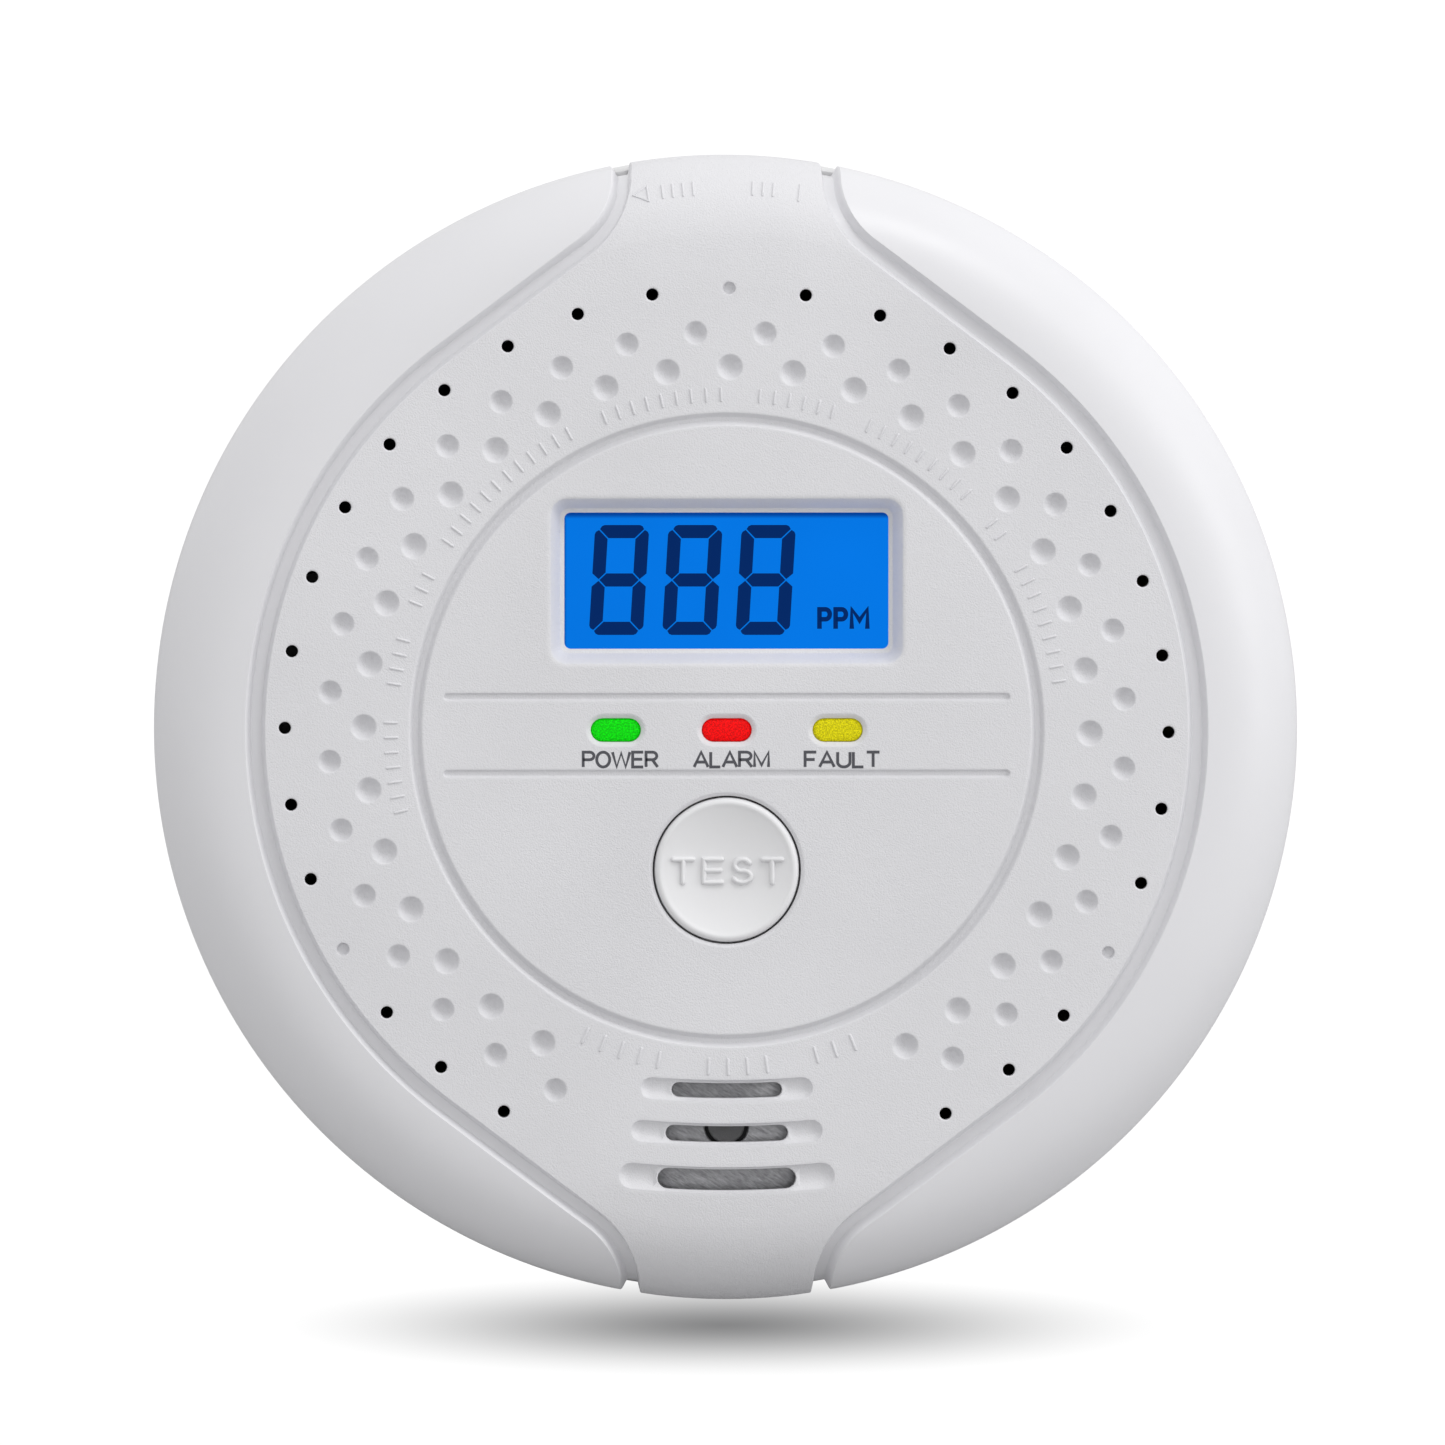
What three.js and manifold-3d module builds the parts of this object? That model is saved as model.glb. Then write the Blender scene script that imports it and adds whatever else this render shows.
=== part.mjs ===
// Battery carbon monoxide detector: a round white alarm that twists onto a wall plate.
// Every piece is drawn in wall coordinates: x to the right and y up as seen from the front, and z is
// the distance out from the wall. The assembly group then turns that frame so the wall is the plane
// Y = 0, the front faces -Y and up is +Z. All sizes are in millimetres.
import * as THREE from 'three';
import { mergeVertices } from 'three/addons/utils/BufferGeometryUtils.js';
import Module from 'manifold-3d';

const wasm = await Module();
wasm.setup();

// Driving dimensions.
const OUTER_RADIUS = 50;
const TOTAL_DEPTH = 37;
const SEAM_DEPTH = 18;
const COVER_WALL = 2.2;
const FLAT_RADIUS = 42.1;
const GAP = 0.3;
const ROUND_SIDES = 64;
const INNER_SIDES = 40;

// Wall plate and the recess that takes it.
const PLATE_THICKNESS = 2;
const PLATE_RADIUS = 45.5;
const PLATE_RIM_WALL = 1.8;
const PLATE_RIM_TOP = 5;
const PLATE_LUG_RADIUS = 47.2;
const PLATE_LUG_BOTTOM = 3.4;
const PLATE_LUG_SPAN = 24;
const KEYHOLE_SPACING = 60;
const KEYHOLE_HEAD = 9;
const KEYHOLE_SLOT = 4.8;
const LUG_ANGLES = [60, 180, 300];
const RECESS_RADIUS = 47.6;
const HOUSING_LUG_RADIUS = 46;
const HOUSING_LUG_TOP = 3;
const HOUSING_LUG_SPAN = 20;

// Rear housing.
const SKIRT_BOTTOM = 1;
const SKIRT_RADIUS = 49.6;
const SKIRT_FOOT_RADIUS = 49.1;
const FLOOR_BOTTOM = 5.4;
const FLOOR_TOP = 7.2;
const LIP_TOP = 20.5;
const LIP_OUTER = 47.4;
const LIP_INNER = 46.2;

// Battery bay and cells.
const CELL_RADIUS = 7.2;
const CELL_LENGTH = 50.2;
const CELL_PITCH = 14.9;
const CELL_DEPTH = 13;
const BAY_HALF_LENGTH = 28.4;
const BAY_HALF_HEIGHT = 22.8;
const BAY_WALL = 1.4;
const BAY_ROOF_UNDER = 20.7;
const BAY_ROOF_TOP = 22.2;
const CONTACT_SHEET = 0.4;

// Screw bosses that join the cover to the housing.
const BOSS_RING_RADIUS = 38.7;
const BOSS_ANGLES = [0, 120, 240];
const BOSS_RADIUS = 3.2;
const SCREW_RADIUS = 1.3;

// Front face pattern: three rings of holes and dimples, all on a ten degree pitch.
const HOLE_STEP = 10;
const SMALL_HOLE_SIDES = 6;
const PINHOLE_RING = 38.7;
const PINHOLE_RADIUS = 0.55;
const OUTER_DIMPLE_RING = 34.9;
const OUTER_DIMPLE_RADIUS = 1.1;
const INNER_DIMPLE_RING = 31.8;
const INNER_DIMPLE_RADIUS = 1.2;
const DIMPLE_DEPTH = 0.45;
const DISC_GROOVE_RADIUS = 27.15;
const DISC_GROOVE_WIDTH = 1.1;
const DISC_GROOVE_DEPTH = 0.4;

// The groove that parts the two side wings from the centre panel.
const WING_GROOVE_RADIUS = 41.15;
const WING_GROOVE_WIDTH = 1.7;
const WING_GROOVE_DEPTH = 0.75;
const WING_LEAVE_ANGLE = 37;
const WING_FILLET = 8.4;
const WING_EXIT_TOP = 9.1;
const WING_EXIT_BOTTOM = 8.3;

// Display window.
const WINDOW_WIDTH = 28.3;
const WINDOW_HEIGHT = 11.9;
const WINDOW_Y = 13;
const BEVEL_WIDTH = 30.9;
const BEVEL_HEIGHT = 14.55;
const BEVEL_DEPTH = 1.1;
const GLASS_WIDTH = 32;
const GLASS_HEIGHT = 15.6;
const GLASS_FRONT = 34.4;
const GLASS_THICKNESS = 1.8;

// Indicator lenses.
const LENS_PITCH = 9.68;
const LENS_WIDTH = 4.4;
const LENS_HEIGHT = 2.07;
const LINE_HALF_LENGTH = 24.8;
const LINE_WIDTH = 0.7;
const LINE_DEPTH = 0.3;
const UPPER_LINE_Y = 2.9;
const LOWER_LINE_Y = -3.8;

// Test button.
const BUTTON_HOLE = 12.95;
const BUTTON_CLEARANCE = 0.16;
const BUTTON_Y = -12.2;
const BUTTON_FLANGE = 15.4;
const BUTTON_STEM_RADIUS = 1.8;
const BUTTON_SIDES = 32;

// Sensor grille: length, height and middle of each slot, and its recess.
const GRILLE_SLOTS = [
  { y: -31.5, slot: 9.65, height: 1.3, recess: 15, recessHeight: 1.85 },
  { y: -35.3, slot: 10.7, height: 1.4, recess: 16.7, recessHeight: 1.85 },
  { y: -39.3, slot: 12.1, height: 1.85, recess: 18.8, recessHeight: 2.2 },
];
const GRILLE_BEND_RADIUS = 85;
const GRILLE_RECESS_DEPTH = 0.7;

// Main board and what stands on it.
const BOARD_BACK = 24.8;
const BOARD_THICKNESS = 1.6;
const BOARD_FRONT = BOARD_BACK + BOARD_THICKNESS;
const BOARD_LEFT = -22.5;
const BOARD_RIGHT = 26;
const BOARD_HALF_HEIGHT = 26;
const TONGUE_HALF_WIDTH = 11;
const TONGUE_END = -43.5;
const SENSOR_Y = -34.6;
const SENSOR_RADIUS = 9;
const SENSOR_FRONT = 33.8;
const SOUNDER_X = -34.4;
const SOUNDER_Y = 4;
const SOUNDER_RADIUS = 11;
const SOUNDER_BACK = 24.4;
const SOUNDER_FRONT = 32.8;

// Insulated internal leads.
const LEAD_RADIUS = 0.6;
const LEAD_SIDES = 8;
const LEAD_STEPS = 14;

// ---------------------------------------------------------------- geometry helpers

// A closed solid from any closed three.js geometry: shared vertices, no collapsed triangles.
function solidOf(geometry) {
  const bare = geometry.clone();
  bare.deleteAttribute('normal');
  bare.deleteAttribute('uv');
  const merged = mergeVertices(bare, 1e-4);
  const position = merged.getAttribute('position');
  const index = merged.getIndex().array;
  const triangles = [];
  for (let i = 0; i < index.length; i += 3) {
    const [a, b, c] = [index[i], index[i + 1], index[i + 2]];
    if (a !== b && b !== c && c !== a) {
      triangles.push(a, b, c);
    }
  }
  return new wasm.Manifold(new wasm.Mesh({
    numProp: 3,
    vertProperties: new Float32Array(position.array),
    triVerts: new Uint32Array(triangles),
  }));
}

// A three.js geometry from a solid.
function geometryOf(solid) {
  const mesh = solid.getMesh();
  const geometry = new THREE.BufferGeometry();
  geometry.setAttribute('position', new THREE.BufferAttribute(new Float32Array(mesh.vertProperties), 3));
  geometry.setIndex(new THREE.BufferAttribute(new Uint32Array(mesh.triVerts), 1));
  geometry.computeVertexNormals();
  return geometry;
}

function subtractAll(solid, cutters) {
  return cutters.reduce((left, cutter) => left.subtract(cutter), solid);
}

function addAll(solid, extras) {
  return extras.reduce((left, extra) => left.add(extra), solid);
}

// Point on a circle; the angle runs clockwise from the top as seen from the front.
function polar(radius, degrees) {
  const angle = THREE.MathUtils.degToRad(degrees);
  return [radius * Math.sin(angle), radius * Math.cos(angle)];
}

// A rod along z, with its own radius at each end.
function rod(radius, near, far, x = 0, y = 0, sides = 24, farRadius = radius) {
  const geometry = new THREE.CylinderGeometry(farRadius, radius, far - near, sides);
  geometry.rotateX(Math.PI / 2);
  geometry.translate(x, y, (near + far) / 2);
  return solidOf(geometry);
}

// A block by its middle in x and y and its two ends in z.
function block(width, height, near, far, x = 0, y = 0) {
  const geometry = new THREE.BoxGeometry(width, height, far - near);
  geometry.translate(x, y, (near + far) / 2);
  return solidOf(geometry);
}

// A block whose far face is wider than its near face.
function taperedBlock(near, far, nearSize, farSize, x, y) {
  const geometry = new THREE.BoxGeometry(1, 1, 1);
  const position = geometry.getAttribute('position');
  for (let i = 0; i < position.count; i += 1) {
    const isFar = position.getZ(i) > 0;
    const [width, height] = isFar ? farSize : nearSize;
    position.setXYZ(i, position.getX(i) * width + x, position.getY(i) * height + y, isFar ? far : near);
  }
  return solidOf(geometry);
}

// A body of revolution about z from [radius, z] pairs listed from the back to the front.
function revolve(profile, sides = ROUND_SIDES) {
  const points = profile.map(([radius, z]) => new THREE.Vector2(radius, z));
  const geometry = new THREE.LatheGeometry(points, sides);
  geometry.rotateX(Math.PI / 2);
  return solidOf(geometry);
}

// A flat outline raised from near to far.
function plateOf(shape, near, far, curveSegments = 6) {
  const geometry = new THREE.ExtrudeGeometry(shape, {
    depth: far - near,
    bevelEnabled: false,
    curveSegments,
  });
  geometry.translate(0, 0, near);
  return solidOf(geometry);
}

function shapeOf(points) {
  return new THREE.Shape(points.map(([x, y]) => new THREE.Vector2(x, y)));
}

// A round-ended slot outline lying along x.
function roundSlot(length, height, x = 0, y = 0) {
  const radius = height / 2;
  const reach = length / 2 - radius;
  const shape = new THREE.Shape();
  shape.absarc(x + reach, y, radius, -Math.PI / 2, Math.PI / 2);
  shape.absarc(x - reach, y, radius, Math.PI / 2, Math.PI * 1.5);
  return shape;
}

// A band of constant width round an open line of points; round ends when asked for.
function bandOutline(points, width, roundEnds = false) {
  const left = [];
  const right = [];
  points.forEach(([x, y], i) => {
    const [x0, y0] = points[Math.max(i - 1, 0)];
    const [x1, y1] = points[Math.min(i + 1, points.length - 1)];
    const length = Math.hypot(x1 - x0, y1 - y0);
    const nx = (-(y1 - y0) / length) * (width / 2);
    const ny = ((x1 - x0) / length) * (width / 2);
    left.push([x + nx, y + ny]);
    right.unshift([x - nx, y - ny]);
  });
  if (!roundEnds) {
    return [...left, ...right];
  }
  return [...left, ...endCap(left.at(-1), right[0]), ...right, ...endCap(right.at(-1), left[0])];
}

// Points of the half circle that runs clockwise from one side of a band's end to the other.
function endCap([ax, ay], [bx, by], steps = 4) {
  const cx = (ax + bx) / 2;
  const cy = (ay + by) / 2;
  const start = Math.atan2(ay - cy, ax - cx);
  const radius = Math.hypot(ax - cx, ay - cy);
  const cap = [];
  for (let i = 1; i < steps; i += 1) {
    const angle = start - (Math.PI * i) / steps;
    cap.push([cx + radius * Math.cos(angle), cy + radius * Math.sin(angle)]);
  }
  return cap;
}

// A curved wall between two radii and two clockwise angles.
function ringSector(inner, outer, from, to, near, far) {
  const steps = 6;
  const points = [];
  for (let i = 0; i <= steps; i += 1) {
    points.push(polar(outer, from + ((to - from) * i) / steps));
  }
  for (let i = steps; i >= 0; i -= 1) {
    points.push(polar(inner, from + ((to - from) * i) / steps));
  }
  return plateOf(shapeOf(points), near, far);
}

// A wire of round section along a smooth curve through the points.
function wire(points) {
  const curve = new THREE.CatmullRomCurve3(points.map((p) => new THREE.Vector3(...p)), false, 'centripetal');
  const section = new THREE.Shape();
  section.absarc(0, 0, LEAD_RADIUS, 0, Math.PI * 2);
  const geometry = new THREE.ExtrudeGeometry(section, {
    steps: LEAD_STEPS,
    curveSegments: LEAD_SIDES / 2,
    extrudePath: curve,
  });
  return solidOf(geometry);
}

// ---------------------------------------------------------------- materials

function finish(colour, roughness, metalness = 0) {
  return new THREE.MeshStandardMaterial({ color: colour, roughness, metalness });
}

const whitePlastic = () => finish(0xe9e9ec, 0.55);
const blackPlastic = () => finish(0x1d1d20, 0.5);
const nickel = () => finish(0xc4c6c8, 0.35, 1);
const steel = () => finish(0x8f9094, 0.45, 1);
const copperRed = () => finish(0xb01818, 0.5);
const leadBlack = () => finish(0x16161a, 0.5);

const assembly = new THREE.Group();
assembly.name = 'carbon_monoxide_detector';
assembly.rotation.x = Math.PI / 2;

function piece(name, solid, material) {
  const mesh = new THREE.Mesh(geometryOf(solid), material);
  mesh.name = name;
  assembly.add(mesh);
}

// ---------------------------------------------------------------- wall plate

function keyholeCutter(x) {
  const slotLength = 7;
  const head = rod(KEYHOLE_HEAD / 2, -1, PLATE_THICKNESS + 1, x, 0, 20);
  const slot = plateOf(
    roundSlot(slotLength + KEYHOLE_SLOT, KEYHOLE_SLOT), -1, PLATE_THICKNESS + 1, 5,
  ).rotate([0, 0, 90]).translate([x, slotLength / 2, 0]);
  return head.add(slot);
}

// Each bayonet lug has a stop that keeps the housing from turning past its locked place.
function plateLugs(angle) {
  const half = PLATE_LUG_SPAN / 2;
  const root = PLATE_RADIUS - 0.6;
  const lug = ringSector(root, PLATE_LUG_RADIUS, angle - half, angle + half, PLATE_LUG_BOTTOM, PLATE_RIM_TOP);
  const stopStart = angle + HOUSING_LUG_SPAN / 2 + 0.6;
  const stop = ringSector(root, PLATE_LUG_RADIUS, stopStart, angle + half, 1, PLATE_RIM_TOP);
  return lug.add(stop);
}

function mountingPlate() {
  const rimInner = PLATE_RADIUS - PLATE_RIM_WALL;
  const dish = revolve([
    [0, 0], [PLATE_RADIUS, 0], [PLATE_RADIUS, PLATE_RIM_TOP], [rimInner, PLATE_RIM_TOP],
    [rimInner, PLATE_THICKNESS], [0, PLATE_THICKNESS],
  ]);
  const lugs = LUG_ANGLES.map(plateLugs);
  const keyholes = [-1, 1].map((side) => keyholeCutter((side * KEYHOLE_SPACING) / 2));
  return subtractAll(addAll(dish, lugs), keyholes);
}

// ---------------------------------------------------------------- rear housing

const boardScrewSpots = [BOARD_LEFT + 2.5, BOARD_RIGHT - 3].flatMap(
  (x) => [-1, 1].map((side) => [x, side * (BOARD_HALF_HEIGHT - 3.5)]),
);

function screwWell([x, y]) {
  const wellRadius = 4.2;
  return rod(wellRadius, FLOOR_BOTTOM, SEAM_DEPTH, x, y);
}

function screwWellBore([x, y]) {
  const headBore = rod(3, FLOOR_BOTTOM - 1, SEAM_DEPTH - 1.8, x, y, 20);
  return headBore.add(rod(1.7, FLOOR_BOTTOM, SEAM_DEPTH + 1, x, y, 12));
}

// Slits in the bay roof let the two end contacts reach the leads in front of it.
function contactSlit(side) {
  const x = side * (BAY_HALF_LENGTH - 0.5);
  return block(1.4, 4.6, BAY_ROOF_UNDER - 1, BAY_ROOF_TOP + 1, x, side * CELL_PITCH);
}

function rearHousing() {
  const shell = revolve([
    [0, FLOOR_BOTTOM], [RECESS_RADIUS, FLOOR_BOTTOM], [RECESS_RADIUS, SKIRT_BOTTOM],
    [SKIRT_FOOT_RADIUS, SKIRT_BOTTOM], [SKIRT_RADIUS, SKIRT_BOTTOM + 2], [SKIRT_RADIUS, SEAM_DEPTH],
    [LIP_OUTER, SEAM_DEPTH], [LIP_OUTER, LIP_TOP], [LIP_INNER, LIP_TOP],
    [LIP_INNER, FLOOR_TOP], [0, FLOOR_TOP],
  ]);
  const bossSpots = BOSS_ANGLES.map((angle) => polar(BOSS_RING_RADIUS, angle));
  const half = HOUSING_LUG_SPAN / 2;
  const lugs = LUG_ANGLES.map((angle) => ringSector(
    HOUSING_LUG_RADIUS, RECESS_RADIUS + 0.4, angle - half, angle + half, SKIRT_BOTTOM, HOUSING_LUG_TOP,
  ));
  const bay = block(
    2 * (BAY_HALF_LENGTH + BAY_WALL), 2 * (BAY_HALF_HEIGHT + BAY_WALL), FLOOR_BOTTOM, BAY_ROOF_TOP,
  );
  const standoffs = boardScrewSpots.map(([x, y]) => rod(2.4, BAY_ROOF_TOP - 0.5, BOARD_BACK - GAP, x, y, 16));
  const sounderPost = block(6, 4, FLOOR_TOP - 0.5, SOUNDER_BACK - GAP, SOUNDER_X - 3.5, SOUNDER_Y);
  const sounderSaddle = block(11, 4, SOUNDER_BACK - 1.8, SOUNDER_BACK - GAP, SOUNDER_X, SOUNDER_Y);
  const solid = addAll(shell, [
    ...lugs, bay, ...bossSpots.map(screwWell), ...standoffs, sounderPost, sounderSaddle,
  ]);
  const pocket = block(2 * BAY_HALF_LENGTH, 2 * BAY_HALF_HEIGHT, FLOOR_BOTTOM - 1, BAY_ROOF_UNDER);
  const pilots = boardScrewSpots.map(([x, y]) => rod(1.2, BAY_ROOF_TOP + 0.3, BOARD_BACK, x, y, 10));
  return subtractAll(solid, [
    pocket, ...bossSpots.map(screwWellBore), ...[-1, 1].map(contactSlit), ...pilots,
  ]);
}

// ---------------------------------------------------------------- front cover

// Outside of the cover from the seam up over the shoulder, drawn in by an inset.
function shoulderProfile(inset) {
  const top = TOTAL_DEPTH - inset;
  const radius = OUTER_RADIUS - inset;
  return [
    [radius, SEAM_DEPTH + GAP], [radius, 28], [radius - 0.45, 30.4 - inset * 0.2],
    [radius - 1.45, 32.8 - inset * 0.5], [radius - 2.95, 34.75 - inset * 0.75],
    [radius - 5.1, 36.25 - inset * 0.9], [FLAT_RADIUS, top], [0, top],
  ];
}

// Middle line of a wing groove in one quarter, from level with the centre out past the rim.
function wingQuarter(exitX) {
  const leave = THREE.MathUtils.degToRad(WING_LEAVE_ANGLE);
  const points = [];
  const arcSteps = 7;
  for (let i = 0; i <= arcSteps; i += 1) {
    points.push(polar(WING_GROOVE_RADIUS, 90 - ((90 - WING_LEAVE_ANGLE) * i) / arcSteps));
  }
  const [startX, startY] = points.at(-1);
  const cornerY = startY + (startX - exitX) * Math.tan(leave);
  const turn = Math.PI / 2 - leave;
  const reach = WING_FILLET * Math.tan(turn / 2);
  const centreX = exitX + WING_FILLET;
  const centreY = cornerY + reach;
  const filletSteps = 4;
  for (let i = 0; i <= filletSteps; i += 1) {
    const angle = Math.PI + turn * (1 - i / filletSteps);
    points.push([centreX + WING_FILLET * Math.cos(angle), centreY + WING_FILLET * Math.sin(angle)]);
  }
  points.push([exitX, OUTER_RADIUS + 2]);
  return points;
}

// The groove follows the skin: a tall band with the inset skin taken away from it.
function wingGrooveCutter(side) {
  const upper = wingQuarter(WING_EXIT_TOP);
  const lower = wingQuarter(WING_EXIT_BOTTOM).map(([x, y]) => [x, -y]);
  const line = [...lower.reverse(), ...upper.slice(1)].map(([x, y]) => [side * x, y]);
  const band = plateOf(shapeOf(bandOutline(line, WING_GROOVE_WIDTH)), SEAM_DEPTH - 1, TOTAL_DEPTH + 1);
  const core = revolve([[0, SEAM_DEPTH - 2], [OUTER_RADIUS - WING_GROOVE_DEPTH, SEAM_DEPTH - 2],
    ...shoulderProfile(WING_GROOVE_DEPTH)]);
  return band.subtract(core);
}

// Every hole and dimple stands on one ten degree pattern with the bottom left clear.
function holePattern() {
  const cutters = [];
  for (let angle = -150; angle <= 150; angle += HOLE_STEP) {
    const overBoss = BOSS_ANGLES.includes((angle + 360) % 360);
    const [px, py] = polar(PINHOLE_RING, angle);
    const pinFloor = overBoss ? TOTAL_DEPTH - 0.5 : TOTAL_DEPTH - COVER_WALL - 1;
    cutters.push(rod(PINHOLE_RADIUS, pinFloor, TOTAL_DEPTH + 1, px, py, SMALL_HOLE_SIDES));
    const [ix, iy] = polar(INNER_DIMPLE_RING, angle);
    cutters.push(dimple(INNER_DIMPLE_RADIUS, ix, iy));
  }
  for (let angle = -155; angle <= 145; angle += HOLE_STEP) {
    const [ox, oy] = polar(OUTER_DIMPLE_RING, angle);
    cutters.push(dimple(OUTER_DIMPLE_RADIUS, ox, oy));
  }
  return cutters;
}

// A shallow conical dimple; the cone runs on above the skin at the same slope.
function dimple(radius, x, y) {
  const over = 1;
  const tip = TOTAL_DEPTH - DIMPLE_DEPTH;
  const wideRadius = (radius * (DIMPLE_DEPTH + over)) / DIMPLE_DEPTH;
  return rod(0, tip, TOTAL_DEPTH + over, x, y, SMALL_HOLE_SIDES, wideRadius);
}

function discGroove() {
  const half = DISC_GROOVE_WIDTH / 2;
  const over = 0.4;
  const spread = (half * (DISC_GROOVE_DEPTH + over)) / DISC_GROOVE_DEPTH;
  const bottom = [DISC_GROOVE_RADIUS, TOTAL_DEPTH - DISC_GROOVE_DEPTH];
  return revolve([
    bottom, [DISC_GROOVE_RADIUS + spread, TOTAL_DEPTH + over],
    [DISC_GROOVE_RADIUS - spread, TOTAL_DEPTH + over], bottom,
  ]);
}

// A grille slot bends upward a little toward its ends.
function grilleSlot(length, height, y, near) {
  const steps = 6;
  const line = [];
  for (let i = 0; i <= steps; i += 1) {
    const x = (length - height) * (i / steps - 0.5);
    line.push([x, y + (x * x) / (2 * GRILLE_BEND_RADIUS)]);
  }
  return plateOf(shapeOf(bandOutline(line, height, true)), near, TOTAL_DEPTH + 2);
}

function frontCover() {
  const skin = revolve([[0, SEAM_DEPTH + GAP], ...shoulderProfile(0)]);
  const hollowBottom = [[0, SEAM_DEPTH - 1], [OUTER_RADIUS - COVER_WALL, SEAM_DEPTH - 1]];
  const hollowTop = shoulderProfile(COVER_WALL).filter((point, i) => i !== 2 && i !== 4);
  const hollow = revolve([...hollowBottom, ...hollowTop], INNER_SIDES);
  const bosses = BOSS_ANGLES.map((angle) => {
    const [x, y] = polar(BOSS_RING_RADIUS, angle);
    const bore = rod(SCREW_RADIUS + GAP, SEAM_DEPTH, 28, x, y, 12);
    return rod(BOSS_RADIUS, SEAM_DEPTH + GAP, TOTAL_DEPTH - COVER_WALL + 0.5, x, y, 20).subtract(bore);
  });
  const bevelFloor = TOTAL_DEPTH - BEVEL_DEPTH;
  const window = block(WINDOW_WIDTH, WINDOW_HEIGHT, 30, TOTAL_DEPTH + 1, 0, WINDOW_Y);
  const bevel = taperedBlock(
    bevelFloor, TOTAL_DEPTH + 0.001, [WINDOW_WIDTH + 0.6, WINDOW_HEIGHT + 0.6],
    [BEVEL_WIDTH, BEVEL_HEIGHT], 0, WINDOW_Y,
  );
  const lines = [UPPER_LINE_Y, LOWER_LINE_Y].map((y) => block(
    2 * LINE_HALF_LENGTH, LINE_WIDTH, TOTAL_DEPTH - LINE_DEPTH, TOTAL_DEPTH + 1, 0, y,
  ));
  const lensHoles = [-1, 0, 1].map((i) => plateOf(
    roundSlot(LENS_WIDTH, LENS_HEIGHT, i * LENS_PITCH), 30, TOTAL_DEPTH + 1, 5,
  ));
  const buttonHole = rod(BUTTON_HOLE / 2, 30, TOTAL_DEPTH + 1, 0, BUTTON_Y, BUTTON_SIDES);
  const grille = GRILLE_SLOTS.flatMap((slot) => [
    grilleSlot(slot.recess, slot.recessHeight, slot.y, TOTAL_DEPTH - GRILLE_RECESS_DEPTH),
    grilleSlot(slot.slot, slot.height, slot.y, 30),
  ]);
  return subtractAll(addAll(skin.subtract(hollow), bosses), [
    window, bevel, ...lines, ...lensHoles, buttonHole, ...grille, discGroove(), ...holePattern(),
    ...[-1, 1].map(wingGrooveCutter),
  ]);
}

// ---------------------------------------------------------------- test button and its switch

const COVER_BACK = TOTAL_DEPTH - COVER_WALL;
const SWITCH_TOP = BOARD_FRONT + 3.8;
const PLUNGER_TOP = SWITCH_TOP + 1.6;

function testButton() {
  const capRadius = BUTTON_HOLE / 2 - BUTTON_CLEARANCE;
  const flangeTop = COVER_BACK - GAP;
  const flangeBottom = flangeTop - 1.2;
  const dishRadius = 40;
  const profile = [
    [0, PLUNGER_TOP + 0.1], [BUTTON_STEM_RADIUS, PLUNGER_TOP + 0.1], [BUTTON_STEM_RADIUS, flangeBottom],
    [BUTTON_FLANGE / 2, flangeBottom], [BUTTON_FLANGE / 2, flangeTop], [capRadius, flangeTop],
    [capRadius, TOTAL_DEPTH - 0.35], [capRadius - 0.35, TOTAL_DEPTH], [capRadius - 1, TOTAL_DEPTH],
  ];
  for (const share of [0.7, 0.4, 0]) {
    const radius = (capRadius - 1) * share;
    const rise = (radius * radius) / (2 * dishRadius);
    profile.push([radius, TOTAL_DEPTH - 0.75 + rise]);
  }
  return revolve(profile, BUTTON_SIDES).translate([0, BUTTON_Y, 0]);
}

function switchBody() {
  const side = 6.2;
  const near = BOARD_FRONT + 0.05;
  const bore = rod(2, near + 1.4, SWITCH_TOP, 0, BUTTON_Y, 16);
  return block(side, side, near, SWITCH_TOP - 0.5, 0, BUTTON_Y).subtract(bore);
}

function switchCover() {
  const side = 6.2;
  const bore = rod(2, SWITCH_TOP - 1, SWITCH_TOP + 1, 0, BUTTON_Y, 16);
  return block(side, side, SWITCH_TOP - 0.4, SWITCH_TOP, 0, BUTTON_Y).subtract(bore);
}

// ---------------------------------------------------------------- lenses and lamps

function lens(x) {
  const fit = 0.1;
  const bodyOutline = roundSlot(LENS_WIDTH - fit, LENS_HEIGHT - fit, x);
  const flangeOutline = roundSlot(LENS_WIDTH + 1.4, LENS_HEIGHT + 1.4, x);
  const flangeTop = COVER_BACK - GAP;
  const body = plateOf(bodyOutline, COVER_BACK - 1, TOTAL_DEPTH - 0.25, 5);
  return body.add(plateOf(flangeOutline, flangeTop - 1.3, flangeTop, 5));
}

function lamp(x) {
  const base = BOARD_FRONT + 0.05;
  return revolve([
    [0, base], [1.9, base], [1.9, base + 1], [1.5, base + 1], [1.5, base + 3.8],
    [1.1, base + 4.8], [0, base + 5.3],
  ], 16).translate([x, 0, 0]);
}

// ---------------------------------------------------------------- display

const GLASS_BACK = GLASS_FRONT - GLASS_THICKNESS;
const STRIP_HEIGHT = 2;
const STRIP_Y = WINDOW_Y - GLASS_HEIGHT / 2 + 0.4 + STRIP_HEIGHT / 2;
const BACKLIGHT_HEIGHT = 12.4;
const BACKLIGHT_Y = WINDOW_Y + (GLASS_HEIGHT - BACKLIGHT_HEIGHT) / 2;

function displayGlass() {
  return block(GLASS_WIDTH, GLASS_HEIGHT, GLASS_BACK, GLASS_FRONT, 0, WINDOW_Y);
}

function displayBacklight() {
  return block(GLASS_WIDTH - 1, BACKLIGHT_HEIGHT, GLASS_BACK - 2.9, GLASS_BACK - 0.2, 0, BACKLIGHT_Y);
}

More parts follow.
